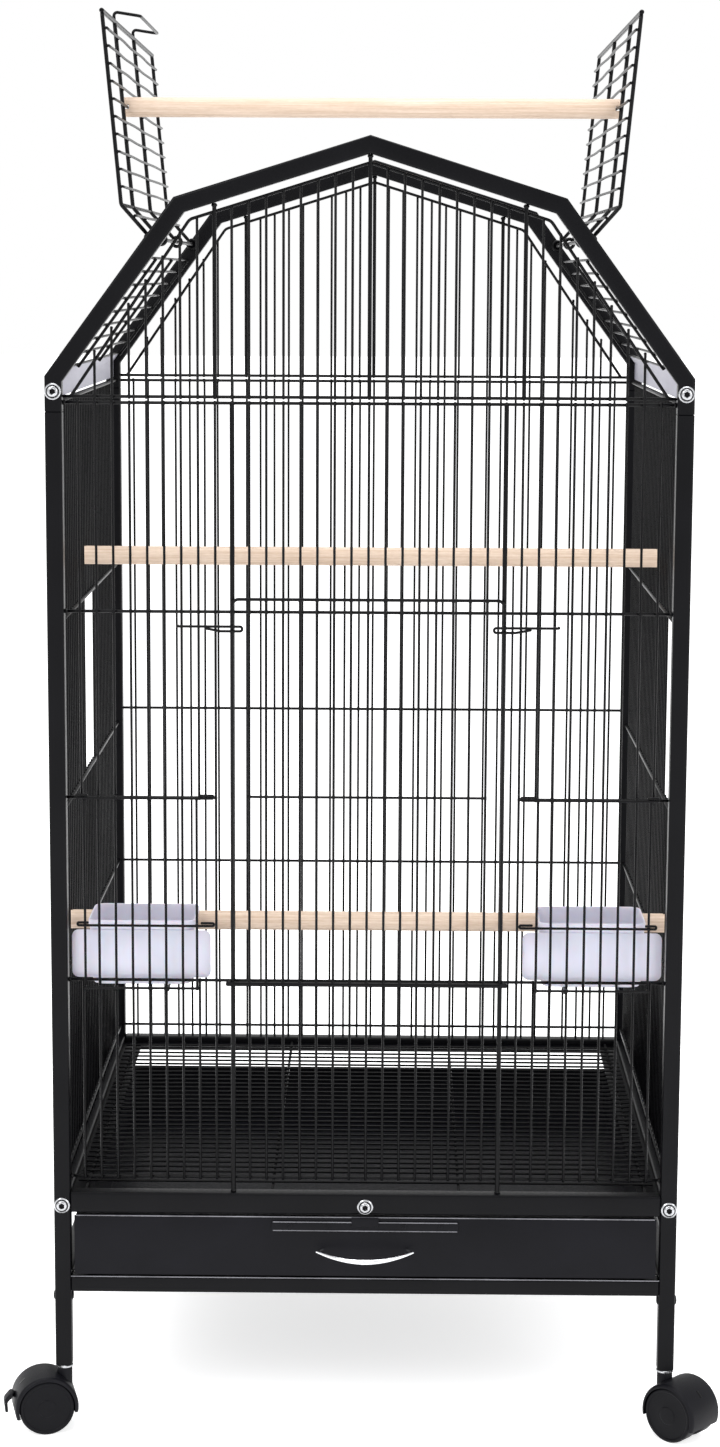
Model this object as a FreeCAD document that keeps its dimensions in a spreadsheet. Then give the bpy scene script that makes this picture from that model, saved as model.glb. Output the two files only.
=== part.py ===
import FreeCAD, Part
import math
import os
import re
import Sketcher

# Bird cage on a wheeled stand. Millimetres, +Z up, front towards -Y.
# The cage stands on the plane Z = 0, with the middle of its footprint at the origin.

V = FreeCAD.Vector
doc = FreeCAD.newDocument("BirdCage")

# ---------------------------------------------------------------- driving sizes
DRIVING = [
    ("outer_wide", 480.0, "over the posts, left to right"),
    ("outer_deep", 480.0, "over the posts, front to back"),
    ("eave_high", 815.5, "outer corner of the frame at the eave"),
    ("knee_rise", 130.5, "knee of the roof above the eave"),
    ("knee_in", 96.0, "knee inward from the outside of the posts"),
    ("apex_rise", 45.0, "top of the roof frame above the knee"),
    ("tube", 12.7, "square tube, outside"),
    ("tube_wall", 1.2, "wall of the square tube"),
    ("leg_bottom", 51.0, "underside of the posts, which is the caster's height"),
    ("joint_drop", 26.0, "seam between post and roof frame, below the eave"),
    ("rail_top", 191.3, "top of the four upper rails"),
    ("front_rail_tall", 16.3, "height of the front upper rail"),
    ("lower_rail_bottom", 111.3, "underside of the lower rails"),
    ("bar_pitch", 12.7, "spacing of the wires"),
    ("bar_dia", 2.0, "thin wire"),
    ("cross_dia", 2.4, "cross wire"),
    ("thick_dia", 3.6, "guide wire"),
    ("panel_drop", 19.5, "top wire of the body panels, below the eave"),
    ("gable_drop", 15.0, "bottom wire of the gable panels, below the eave"),
    ("panel_bottom", 202.0, "lowest cross wire of the body panels"),
    ("door_sill", 357.5, "lower edge of the door openings"),
    ("door_head", 640.5, "upper edge of the main opening"),
    ("feeder_head", 499.0, "upper edge of the feeder openings"),
    ("nest_sill", 486.0, "lower edge of the nest openings"),
    ("nest_head", 631.0, "upper edge of the nest openings"),
    ("roof_gap", 6.0, "gap between roof frame and gable panel"),
    ("strip_drop", 16.5, "lower edge of the folded eave strips, below the eave"),
    ("strip_rise", 10.0, "upper edge of the eave strips, up the slope"),
    ("strip_thick", 1.2, "thickness of the eave strips"),
    ("hinge_along", 127.5, "eave corner to lid hinge, along the slope"),
    ("rod_dia", 3.0, "lid hinge rod"),
    ("lid_short", 32.4, "lid, hinge to its bend"),
    ("lid_long", 140.0, "lid, bend to its free edge"),
    ("lid_open", 78.0, "angle that the lids stand open"),
    ("lid_dia", 3.0, "lid border wire"),
    ("lid_gap", 3.3, "lid border to roof frame"),
    ("hook_rise", 6.0, "hook above the lid's edge"),
    ("hook_reach", 22.0, "hook's reach beyond the lid"),
    ("perch_dia", 15.0, "wooden perches"),
    ("top_perch_rise", 198.5, "centre of the top perch above the eave"),
    ("middle_perch_high", 663.0, "centre of the middle perch"),
    ("lower_perch_high", 387.0, "centre of the lower perch"),
    ("running", 0.35, "clearance around sliding wires"),
    ("slot_gap", 0.05, "perch slot beside its wire"),
    ("door_hang", 1.1, "bottom wire of the main door below the sill wire, in front of it"),
    ("door_tall", 294.3, "main door, bottom wire to top wire"),
    ("feeder_tall", 149.0, "feeder door, bottom wire to top wire"),
    ("nest_tall", 149.0, "nest door, bottom wire to top wire"),
    ("cup_wide", 106.0, "feeder cup's front plate, left to right"),
    ("cup_body_wide", 82.0, "feeder cup's trough, left to right"),
    ("cup_deep", 62.0, "feeder cup, front to back"),
    ("cup_tall", 51.5, "feeder cup's trough"),
    ("cup_wall", 1.8, "feeder cup wall"),
    ("plate_rise", 7.0, "cup's front plate above its underside"),
    ("plate_tall", 37.0, "cup's front plate"),
    ("cup_gap", 2.3, "cup's plate to the post"),
    ("cup_round", 8.0, "cup's upright corners"),
    ("grate_high", 186.0, "underside of the grate"),
    ("ledge_wide", 16.0, "ledge that the grate rests on"),
    ("sheet_thick", 1.0, "folded sheet of ledges, runners and drawer"),
    ("drawer_top_gap", 1.2, "drawer front below the upper rail"),
    ("drawer_gap", 0.6, "drawer above its runners"),
    ("drawer_side_gap", 3.0, "drawer front to the posts"),
    ("tray_tall", 40.0, "drawer tray walls"),
    ("handle_span", 64.0, "handle, centre to centre"),
    ("handle_out", 22.0, "handle in front of the drawer"),
    ("handle_dia", 5.0, "handle rod"),
    ("handle_drop", 26.5, "handle's ends below the drawer's top edge"),
    ("handle_sag", 2.5, "handle's middle below its ends"),
    ("bolt_head", 11.0, "button head of the M6 bolts"),
    ("bolt_high", 180.8, "lower frame bolts"),
    ("leg_screw_drop", 4.5, "leg screws below the lower rails"),
    ("eave_bolt_drop", 11.2, "eave bolts, below the eave"),
    ("wheel_dia", 43.0, "caster wheel"),
    ("wheel_thick", 13.5, "one of the two wheels of a caster"),
    ("wheel_split", 8.0, "gap between the two wheels"),
    ("axle_dia", 6.0, "caster axle"),
    ("stem_dia", 8.0, "caster stem"),
    ("collar_dia", 12.0, "collar of the hood under the stem"),
    ("caster_trail", 15.8, "axle behind the stem"),
    ("hood_thick", 2.2, "caster hood wall"),
]
SIZE = {alias: value for alias, value, note in DRIVING}

# Names that are worked out from the driving sizes, as expressions of them.
WORKED = {
    "post_mid_x": "(outer_wide / 2 - tube / 2)",
    "post_mid_y": "(outer_deep / 2 - tube / 2)",
    "inner_half_x": "(outer_wide / 2 - tube)",
    "inner_half_y": "(outer_deep / 2 - tube)",
    "bay_wide": "(outer_wide - 2 * tube)",
    "bay_deep": "(outer_deep - 2 * tube)",
    "bar_r": "(bar_dia / 2)",
    "cross_r": "(cross_dia / 2)",
    "lower_rail_top": "(lower_rail_bottom + tube)",
    "drawer_bottom": "(lower_rail_bottom + tube + sheet_thick + drawer_gap)",
    "drawer_top": "(rail_top - front_rail_tall - drawer_top_gap)",
    "drawer_tall": "(drawer_top - drawer_bottom)",
    "frame_joint": "(eave_high - joint_drop)",
    "panel_top": "(eave_high - panel_drop)",
}

sheet = doc.addObject("Spreadsheet::Sheet", "Sizes")
for row, (alias, value, note) in enumerate(DRIVING, start=1):
    sheet.set(f"A{row}", alias)
    sheet.set(f"B{row}", str(value))
    sheet.set(f"C{row}", note)
    sheet.setAlias(f"B{row}", alias)
doc.recompute()


def expand(text):
    """Write an expression of size names as FreeCAD needs it, with the sheet's name in front."""
    def swap(found):
        word = found[0]
        if word in WORKED:
            return expand(WORKED[word])
        return f"Sizes.{word}" if word in SIZE else word
    return re.sub(r"[a-z_]+[a-z_0-9]*", swap, str(text))


def bind(item, **settings):
    """Bind properties of an object to expressions; x, y and z are its placement."""
    for name, text in settings.items():
        path = f"Placement.Base.{name}" if name in ("x", "y", "z") else name
        item.setExpression(path, expand(text))


# ---------------------------------------------------------------- worked-out numbers
HALF_X = SIZE["outer_wide"] / 2
HALF_Y = SIZE["outer_deep"] / 2
TUBE = SIZE["tube"]
PITCH = SIZE["bar_pitch"]
POST_X = HALF_X - TUBE / 2
POST_Y = HALF_Y - TUBE / 2
INNER_X = HALF_X - TUBE
INNER_Y = HALF_Y - TUBE
BARS_X = int((INNER_X - SIZE["thick_dia"]) // PITCH)
BARS_Y = int((INNER_Y - SIZE["thick_dia"]) // PITCH)
DOOR_HALF = 8
FEEDER_EDGE = DOOR_HALF + 1
EAVE = SIZE["eave_high"]
SEAM = EAVE - SIZE["joint_drop"]
KNEE = EAVE + SIZE["knee_rise"]
APEX = KNEE + SIZE["apex_rise"]
KNEE_X = HALF_X - SIZE["knee_in"]
STEEP = math.atan2(SIZE["knee_rise"], SIZE["knee_in"])
SHALLOW = math.atan2(SIZE["apex_rise"], KNEE_X)
OPEN = math.radians(SIZE["lid_open"])
Y_AXIS = V(0, 1, 0)
X_AXIS = V(1, 0, 0)
Z_AXIS = V(0, 0, 1)

parts = {}


def keep(item, label):
    """Give an object its file name and list it for export."""
    item.Label = label
    parts[label] = item
    return item


# ---------------------------------------------------------------- modelling helpers
def new_body(label):
    return keep(doc.addObject("PartDesign::Body", label), label)


def add_box(body, length, width, height, x="0", y="0", z="0", cut=False):
    """Add (or cut) a box in a body, from its lowest corner, all bound to size names."""
    kind = "PartDesign::SubtractiveBox" if cut else "PartDesign::AdditiveBox"
    box = body.newObject(kind, "Cut" if cut else "Block")
    bind(box, Length=length, Width=width, Height=height, x=x, y=y, z=z)
    return box


def turned(axis):
    """Turn a cylinder that stands along Z so that it lies along X or Y."""
    if axis == "x":
        return FreeCAD.Rotation(Y_AXIS, 90)
    if axis == "y":
        return FreeCAD.Rotation(X_AXIS, -90)
    return FreeCAD.Rotation()


def add_round(body, radius, height, x="0", y="0", z="0", axis="z", cut=False):
    """Add (or cut) a cylinder in a body, from the middle of its first end."""
    kind = "PartDesign::SubtractiveCylinder" if cut else "PartDesign::AdditiveCylinder"
    item = body.newObject(kind, "Bore" if cut else "Rod")
    item.Placement.Rotation = turned(axis)
    bind(item, Radius=radius, Height=height, x=x, y=y, z=z)
    return item


def origin_plane(body, role):
    """One of a body's own origin planes, by its role."""
    return next(item for item in body.Origin.OriginFeatures if item.Role == role)


def sketch_on(body, role, name, lift="0"):
    """An empty sketch on one of the body's origin planes, lifted off it along its normal."""
    sketch = body.newObject("Sketcher::SketchObject", name)
    sketch.AttachmentSupport = (origin_plane(body, role), [""])
    sketch.MapMode = "FlatFace"
    sketch.setExpression("AttachmentOffset.Base.z", expand(lift))
    return sketch


def draw_rectangle(sketch, **sides):
    """A rectangle from its left, right, low and high sides, each bound to an expression."""
    corners = [V(0, 0, 0), V(40, 0, 0), V(40, 20, 0), V(0, 20, 0)]
    for start, end in zip(corners, corners[1:] + corners[:1]):
        sketch.addGeometry(Part.LineSegment(start, end), False)
    for line in range(4):
        sketch.addConstraint(Sketcher.Constraint("Coincident", line, 2, (line + 1) % 4, 1))
    for line, way in enumerate(("Horizontal", "Vertical", "Horizontal", "Vertical")):
        sketch.addConstraint(Sketcher.Constraint(way, line))
    for side, (kind, line) in {"left": ("DistanceX", 0), "low": ("DistanceY", 0),
                               "right": ("DistanceX", 2), "high": ("DistanceY", 2)}.items():
        index = sketch.addConstraint(Sketcher.Constraint(kind, -1, 1, line, 1, 1.0 + line * 20))
        sketch.renameConstraint(index, side)
        sketch.setExpression(f"Constraints.{side}", expand(sides[side]))


def rod(group, axis, radius, length, x, y, z):
    """One straight wire of a welded panel, from the middle of its first end."""
    wire = doc.addObject("Part::Cylinder", "Wire")
    wire.Placement.Rotation = turned(axis)
    bind(wire, Radius=radius, Height=length, x=x, y=y, z=z)
    group.append(wire)
    return wire


def weld(label, wires):
    """Gather the wires of one panel as a group of separate solids."""
    panel = doc.addObject("Part::Compound", label)
    panel.Links = wires
    return keep(panel, label)


def fixed(label, shape):
    """A piece whose outline is worked out in code from the sizes."""
    item = doc.addObject("Part::Feature", label)
    item.Shape = shape
    return keep(item, label)


def straight(start, end, radius):
    """A round wire between two points."""
    run = end.sub(start)
    return Part.makeCylinder(radius, run.Length, start, run)


def spread(count, skip=()):
    """Bar numbers from -count to count, without those in skip."""
    return [number for number in range(-count, count + 1) if number not in skip]


# ---------------------------------------------------------------- posts and rails
def square_tube(label, axis, length, x, y, z, tall="tube"):
    """A hollow rectangular tube along an axis, open at both ends, from its lowest corner."""
    outside = {"x": (length, "tube", tall), "y": ("tube", length, tall), "z": ("tube", "tube", length)}
    body = new_body(label)
    add_box(body, *outside[axis], x=x, y=y, z=z)
    bore = [f"{side} - 2 * tube_wall" for side in outside[axis]]
    start = [f"{corner} + tube_wall" for corner in (x, y, z)]
    along = "xyz".index(axis)
    bore[along] = f"{length} + 2"
    start[along] = f"{(x, y, z)[along]} - 1"
    add_box(body, *bore, x=start[0], y=start[1], z=start[2], cut=True)
    return body


LEFT, RIGHT = "-outer_wide / 2", "inner_half_x"
FRONT, REAR = "-outer_deep / 2", "inner_half_y"
for place, x, y in (("front_left", LEFT, FRONT), ("front_right", RIGHT, FRONT),
                    ("rear_left", LEFT, REAR), ("rear_right", RIGHT, REAR)):
    square_tube(f"{place}_post", "z", "(frame_joint - leg_bottom)", x, y, "leg_bottom")

square_tube("front_upper_rail", "x", "bay_wide", "-inner_half_x", FRONT,
            "rail_top - front_rail_tall", tall="front_rail_tall")
square_tube("rear_upper_rail", "x", "bay_wide", "-inner_half_x", REAR, "rail_top - tube")
square_tube("left_upper_rail", "y", "bay_deep", LEFT, "-inner_half_y", "rail_top - tube")
square_tube("right_upper_rail", "y", "bay_deep", RIGHT, "-inner_half_y", "rail_top - tube")
square_tube("front_lower_rail", "x", "bay_wide", "-inner_half_x", FRONT, "lower_rail_bottom")
square_tube("rear_lower_rail", "x", "bay_wide", "-inner_half_x", REAR, "lower_rail_bottom")
square_tube("left_lower_rail", "y", "bay_deep", LEFT, "-inner_half_y", "lower_rail_bottom")
square_tube("right_lower_rail", "y", "bay_deep", RIGHT, "-inner_half_y", "lower_rail_bottom")


# ---------------------------------------------------------------- roof frames
def roof_line(depth):
    """The right half of the frame's line at a depth inside its outer edge, seam to apex."""
    eave_turn = math.radians(90) - STEEP
    knee_turn = STEEP - SHALLOW
    knee_way = (STEEP + SHALLOW) / 2
    reach = depth / math.cos(knee_turn / 2)
    return [
        (HALF_X - depth, SEAM),
        (HALF_X - depth, EAVE - depth * math.tan(eave_turn / 2)),
        (KNEE_X - reach * math.sin(knee_way), KNEE - reach * math.cos(knee_way)),
        (0.0, APEX - depth / math.cos(SHALLOW)),
    ]


def roof_height(x, depth):
    """Height of the roof line at a depth inside its outer edge, over a place x."""
    seam, eave, knee, apex = roof_line(depth)
    place = abs(x)
    low, high = (knee, apex) if place <= knee[0] else (eave, knee)
    share = (place - low[0]) / (high[0] - low[0])
    return low[1] + share * (high[1] - low[1])


def band(outer, inner):
    """The closed outline between two roof lines, left to right and back."""
    mirrored = [(-x, z) for x, z in outer]
    mirrored_inner = [(-x, z) for x, z in inner]
    return mirrored + outer[-2::-1] + inner + mirrored_inner[-2::-1]


def roof_frame(label, front):
    """A roof frame of square tube, bent at the eaves and knees and mitred at the apex."""
    def slab(outer, inner, start, deep):
        points = [V(x, start, z) for x, z in band(outer, inner)]
        face = Part.Face(Part.makePolygon(points + points[:1]))
        return face.extrude(V(0, deep, 0))
    wall = SIZE["tube_wall"]
    solid = slab(roof_line(0), roof_line(TUBE), front, TUBE)
    hollow = slab(roof_line(wall), roof_line(TUBE - wall), front + wall, TUBE - 2 * wall)
    return fixed(label, solid.cut(hollow))


roof_frame("front_roof_frame", -HALF_Y)
roof_frame("rear_roof_frame", INNER_Y)


# ---------------------------------------------------------------- body panels
def cross_wire_x(group, start, length, y, z):
    rod(group, "x", "cross_r", length, start, y, z)


front_panel = []
FRONT_MID, FRONT_BACK = "-post_mid_y", "-post_mid_y + bar_r + cross_r"
for number in spread(BARS_X):
    x = f"{number} * bar_pitch"
    radius = "thick_dia / 2" if abs(number) == DOOR_HALF else "bar_r"
    y = f"{FRONT_BACK} - cross_r - {radius}"
    if abs(number) < DOOR_HALF:
        spans = [("rail_top", "door_sill"), ("door_head", "panel_top")]
    elif abs(number) > FEEDER_EDGE:
        spans = [("rail_top", "door_sill"), ("feeder_head", "panel_top")]
    else:
        spans = [("rail_top", "panel_top")]
    for low, high in spans:
        rod(front_panel, "z", radius, f"{high} - {low}", x, y, low)
for z in ("panel_bottom", "door_sill", "door_head", "panel_top"):
    cross_wire_x(front_panel, "-inner_half_x", "bay_wide", FRONT_BACK, z)
FEEDER_WIRE = f"inner_half_x - {FEEDER_EDGE} * bar_pitch + bar_r"
cross_wire_x(front_panel, "-inner_half_x", FEEDER_WIRE, FRONT_BACK, "feeder_head")
cross_wire_x(front_panel, f"{FEEDER_EDGE} * bar_pitch - bar_r", FEEDER_WIRE, FRONT_BACK, "feeder_head")
weld("front_panel", front_panel)

rear_panel = []
REAR_INSIDE = "post_mid_y - bar_r - cross_r"
for number in spread(BARS_X):
    rod(rear_panel, "z", "bar_r", "panel_top - rail_top", f"{number} * bar_pitch", "post_mid_y", "rail_top")
for z in ("panel_bottom", "door_sill", "feeder_head", "door_head", "panel_top"):
    cross_wire_x(rear_panel, "-inner_half_x", "bay_wide", REAR_INSIDE, z)
weld("rear_panel", rear_panel)


def side_panel(label, side, first, last):
    """A side panel whose nest opening lies between two bar numbers."""
    group = []
    inside = f"{side} * (post_mid_x - bar_r - cross_r)"
    for number in spread(BARS_Y):
        spans = [("rail_top", "panel_top")]
        if first < number < last:
            spans = [("rail_top", "nest_sill"), ("nest_head", "panel_top")]
        for low, high in spans:
            rod(group, "z", "bar_r", f"{high} - {low}", f"{side} * post_mid_x", f"{number} * bar_pitch", low)
    for z in ("panel_bottom", "door_sill", "panel_top"):
        rod(group, "y", "cross_r", "bay_deep", inside, "-inner_half_y", z)
    for z in ("nest_sill", "nest_head"):
        rod(group, "y", "cross_r", "bay_deep", inside, "-inner_half_y", z)
    return weld(label, group)


NEST_LEFT = (-3, 3)
NEST_RIGHT = (1 - BARS_Y, 7 - BARS_Y)
side_panel("left_side_panel", -1, *NEST_LEFT)
side_panel("right_side_panel", 1, *NEST_RIGHT)


def gable_panel(label, side):
    """The wires that fill a roof frame: upright bars under a bent border wire."""
    depth = TUBE + SIZE["roof_gap"]
    radius = SIZE["bar_dia"] / 2
    border_r = SIZE["cross_dia"] / 2
    plane = side * POST_Y
    border_y = plane - side * (radius + border_r)
    line = roof_line(depth)[1:]
    low = EAVE - SIZE["gable_drop"]
    line[0] = (line[0][0], low + 2.2 * border_r)
    whole = [(-x, z) for x, z in line] + line[-2::-1]
    wires = [straight(V(-INNER_X, border_y, low), V(INNER_X, border_y, low), border_r)]
    trim = border_r * math.tan((STEEP - SHALLOW) / 2)
    for start, end in zip(whole, whole[1:]):
        first, last = V(start[0], border_y, start[1]), V(end[0], border_y, end[1])
        way = (last - first).normalize()
        wires.append(straight(first + way * trim, last - way * trim, border_r))
    for number in spread(BARS_X):
        x = number * PITCH
        thick = number in (0, -FEEDER_EDGE, FEEDER_EDGE)
        size = radius * 1.6 if thick else radius
        y = border_y + side * (border_r + size)
        limit = TUBE if thick else depth
        top = min(roof_height(x - size, limit), roof_height(x + size, limit)) if thick else roof_height(x, limit)
        if top - low < 4 * radius:
            continue
        wires.append(straight(V(x, y, low), V(x, y, top), size))
    return fixed(label, Part.makeCompound(wires))


gable_panel("front_gable_panel", -1)
gable_panel("rear_gable_panel", 1)


# ---------------------------------------------------------------- eaves, slopes and hinge rods
def slope_point(side, along, depth, y):
    """A point on the steep slope, by its distance from the eave corner and its depth inside."""
    x = HALF_X - along * math.cos(STEEP) - depth * math.sin(STEEP)
    z = EAVE + along * math.sin(STEEP) - depth * math.cos(STEEP)
    return V(side * x, y, z)


ROD_R = SIZE["rod_dia"] / 2
HINGE_DEPTH = 2.0 * ROD_R
SLAT_Y = (-124.0, 40.0)
for name, side in (("left", -1), ("right", 1)):
    middle = TUBE / 2
    outer = middle - SIZE["strip_thick"] / 2
    inner = middle + SIZE["strip_thick"] / 2
    fold = math.tan((math.pi / 2 - STEEP) / 2)
    low = EAVE - SIZE["strip_drop"]
    points = [V(side * (HALF_X - outer), -INNER_Y, low),
              V(side * (HALF_X - inner), -INNER_Y, low),
              V(side * (HALF_X - inner), -INNER_Y, EAVE - inner * fold),
              slope_point(side, SIZE["strip_rise"], inner, -INNER_Y),
              slope_point(side, SIZE["strip_rise"], outer, -INNER_Y),
              V(side * (HALF_X - outer), -INNER_Y, EAVE - outer * fold)]
    face = Part.Face(Part.makePolygon(points + points[:1]))
    fixed(f"{name}_eave_strip", face.extrude(V(0, 2 * INNER_Y, 0)))

    bar_r = SIZE["bar_dia"] / 2
    rise_r = SIZE["cross_dia"] / 2
    start = SIZE["strip_rise"] + bar_r
    wires = []
    along = start
    while along < SIZE["hinge_along"] - PITCH / 2:
        wires.append(straight(slope_point(side, along, middle, -INNER_Y),
                              slope_point(side, along, middle, INNER_Y), bar_r))
        along += PITCH
    last = along - PITCH + bar_r
    for y in (-INNER_Y + 6 * rise_r, *SLAT_Y, INNER_Y - 6 * rise_r):
        wires.append(straight(slope_point(side, start - bar_r, middle + bar_r + rise_r, y),
                              slope_point(side, last, middle + bar_r + rise_r, y), rise_r))
    fixed(f"{name}_slope_panel", Part.makeCompound(wires))

fixed("hinge_rods", Part.makeCompound([
    straight(slope_point(side, SIZE["hinge_along"], HINGE_DEPTH, -INNER_Y),
             slope_point(side, SIZE["hinge_along"], HINGE_DEPTH, INNER_Y), ROD_R) for side in (-1, 1)]))


# ---------------------------------------------------------------- roof lids, modelled standing open
LID_R = SIZE["lid_dia"] / 2
LID_HALF = INNER_Y - SIZE["lid_gap"] - LID_R
EYE_RING = ROD_R + 2 * SIZE["running"] + LID_R
HINGE = slope_point(1, SIZE["hinge_along"], HINGE_DEPTH, 0)


def lid_point(side, short, long, out, y):
    """A point on an open lid: along its short leg, along its long leg, and out from it."""
    first = STEEP + OPEN
    second = SHALLOW + OPEN
    x = HINGE.x + short * math.cos(math.pi - first) + long * math.cos(math.pi - second)
    z = HINGE.z + short * math.sin(first) + long * math.sin(second)
    way = second if long else first
    x += out * math.sin(way)
    z += out * math.cos(way)
    return V(side * x, y, z)


def lid(name, side):
    """A bent roof door: border and double rib wires, cross wires, knee wire and hinge eyes."""
    short, long = SIZE["lid_short"], SIZE["lid_long"]
    bar_r = SIZE["bar_dia"] / 2
    start = EYE_RING + LID_R
    wires = []
    ribs = []
    for y in SLAT_Y:
        ribs += [(y - 1.3 * LID_R, LID_R * 0.8), (y + 1.3 * LID_R, LID_R * 0.8)]
    for y, radius in [(-LID_HALF, LID_R), *ribs, (LID_HALF, LID_R)]:
        wires.append(straight(lid_point(side, start, 0, 0, y), lid_point(side, short - LID_R, 0, 0, y), radius))
        wires.append(straight(lid_point(side, short, LID_R, 0, y),
                              lid_point(side, short, long - LID_R, 0, y), radius))
    for y in (-LID_HALF, *SLAT_Y, LID_HALF):
        eye = Part.makeTorus(EYE_RING, LID_R, V(side * HINGE.x, y, HINGE.z), Y_AXIS)
        wires.append(eye)
    reach = LID_HALF + LID_R
    wires.append(straight(lid_point(side, short, 0, 0, -reach), lid_point(side, short, 0, 0, reach), LID_R))
    wires.append(straight(lid_point(side, short, long, 0, -reach), lid_point(side, short, long, 0, reach), LID_R))
    out = -(LID_R + bar_r)
    count = int((long - PITCH / 2) // PITCH)
    for number in range(1, count + 1):
        place = long - number * PITCH
        wires.append(straight(lid_point(side, short, place, out, -reach),
                              lid_point(side, short, place, out, reach), bar_r))
    place = short - PITCH
    while place > start + bar_r:
        wires.append(straight(lid_point(side, place, 0, out, -reach),
                              lid_point(side, place, 0, out, reach), bar_r))
        place -= PITCH
    return fixed(f"{name}_lid", Part.makeCompound(wires))


lid("left", -1)
lid("right", 1)

HOOK_R = LID_R * 0.8
hook_long = SIZE["lid_long"] + LID_R
hook = []
for y in SLAT_Y:
    foot = lid_point(-1, SIZE["lid_short"], hook_long, 0, y)
    knee = lid_point(-1, SIZE["lid_short"], hook_long + SIZE["hook_rise"], 0, y)
    tip = lid_point(-1, SIZE["lid_short"], hook_long + SIZE["hook_rise"], -SIZE["hook_reach"], y)
    hook.append(straight(foot, knee, HOOK_R))
    hook.append(Part.makeSphere(HOOK_R, knee))
    hook.append(straight(knee, tip, HOOK_R))
    hook.append(Part.makeSphere(HOOK_R, tip))
front_tip = lid_point(-1, SIZE["lid_short"], hook_long + SIZE["hook_rise"], -SIZE["hook_reach"], SLAT_Y[0])
rear_tip = lid_point(-1, SIZE["lid_short"], hook_long + SIZE["hook_rise"], -SIZE["hook_reach"], SLAT_Y[1])
hook.append(straight(front_tip, rear_tip, HOOK_R))
fixed("lid_hook", hook[0].multiFuse(hook[1:]).removeSplitter())


# ---------------------------------------------------------------- perches
def perch(label, bar, z):
    """A round perch along X whose slotted ends grip one upright wire of each side panel."""
    body = new_body(label)
    half = "(post_mid_x + bar_r + 0.5)"
    y = f"{bar} * bar_pitch"
    add_round(body, "perch_dia / 2", f"2 * {half}", x=f"-{half}", y=y, z=z, axis="x")
    depth = "(bar_dia + running + 0.5)"
    for start in (f"-{half} - 1", f"{half} - {depth}"):
        add_box(body, f"{depth} + 1", "bar_dia + 2 * slot_gap", "perch_dia + 2",
                x=start, y=f"{y} - bar_r - slot_gap", z=f"{z} - perch_dia / 2 - 1", cut=True)
    return body


# The lower perch takes the first side wire that leaves it clear behind the cups.
cup_back = POST_Y - SIZE["bar_dia"] / 2 - SIZE["cross_dia"] - 2 - SIZE["cup_deep"]
lower_bar = int((cup_back - SIZE["perch_dia"] / 2 - 2) // PITCH)
perch("lower_perch", -lower_bar, "lower_perch_high")
perch("middle_perch", -2, "middle_perch_high")

# The top perch reaches from lid to lid; each end is slotted over one cross wire.
CROSS_OUT = -(LID_R + SIZE["bar_dia"] / 2)
lid_rise = EAVE + SIZE["top_perch_rise"] - lid_point(1, SIZE["lid_short"], 1e-9, 0, 0).z
cross_number = round((SIZE["lid_long"] - lid_rise / math.sin(SHALLOW + OPEN)) / PITCH)
perch_wire = lid_point(1, SIZE["lid_short"], SIZE["lid_long"] - cross_number * PITCH, CROSS_OUT, 0)
PERCH_Y = SLAT_Y[0] + 1.3 * LID_R + LID_R * 0.8 + SIZE["perch_dia"] / 2 + 2.0
half = perch_wire.x + 2.5
top_perch = Part.makeCylinder(SIZE["perch_dia"] / 2, 2 * half, V(-half, PERCH_Y, perch_wire.z), X_AXIS)
slot_tall = SIZE["bar_dia"] + 4 * SIZE["running"]
slot_deep = 2.5 + SIZE["bar_dia"] / 2 + 2 * SIZE["running"]
for side in (-1, 1):
    start = half - slot_deep if side > 0 else -half - 1
    slot = Part.makeBox(slot_deep + 1, SIZE["perch_dia"] + 2, slot_tall,
                        V(start, PERCH_Y - SIZE["perch_dia"] / 2 - 1, perch_wire.z - slot_tall / 2))
    top_perch = top_perch.cut(slot)
fixed("top_perch", top_perch)


# ---------------------------------------------------------------- main door
DOOR_Y = f"({FRONT_BACK} - cross_r - 1.5 * thick_dia - running)"
door = []
SIDE_ROD_X = f"{DOOR_HALF} * bar_pitch"
DOOR_BOTTOM = "(door_sill - door_hang)"
for number in spread(DOOR_HALF - 1):
    rod(door, "z", "bar_r", "door_tall - thick_dia / 2 - cross_r", f"{number} * bar_pitch",
        f"{DOOR_Y}", f"{DOOR_BOTTOM} + thick_dia / 2")
for sign in ("-", ""):
    rod(door, "z", "cross_r", "door_tall - thick_dia / 2 - cross_r", f"{sign}{SIDE_ROD_X}",
        f"{DOOR_Y}", f"{DOOR_BOTTOM} + thick_dia / 2")
rod(door, "x", "cross_r", f"2 * {SIDE_ROD_X} + cross_dia", f"-{SIDE_ROD_X} - cross_r", DOOR_Y,
    f"{DOOR_BOTTOM} + door_tall")
rod(door, "x", "thick_dia / 2", f"2 * {SIDE_ROD_X} + 3 * thick_dia", f"-{SIDE_ROD_X} - 1.5 * thick_dia",
    f"{DOOR_Y}", DOOR_BOTTOM)
rod(door, "x", "bar_r", f"2 * {DOOR_HALF - 1} * bar_pitch", f"-{DOOR_HALF - 1} * bar_pitch",
    f"{DOOR_Y} - bar_dia", f"{DOOR_BOTTOM} + door_tall / 2 - 2")
weld("main_door", door)

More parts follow.
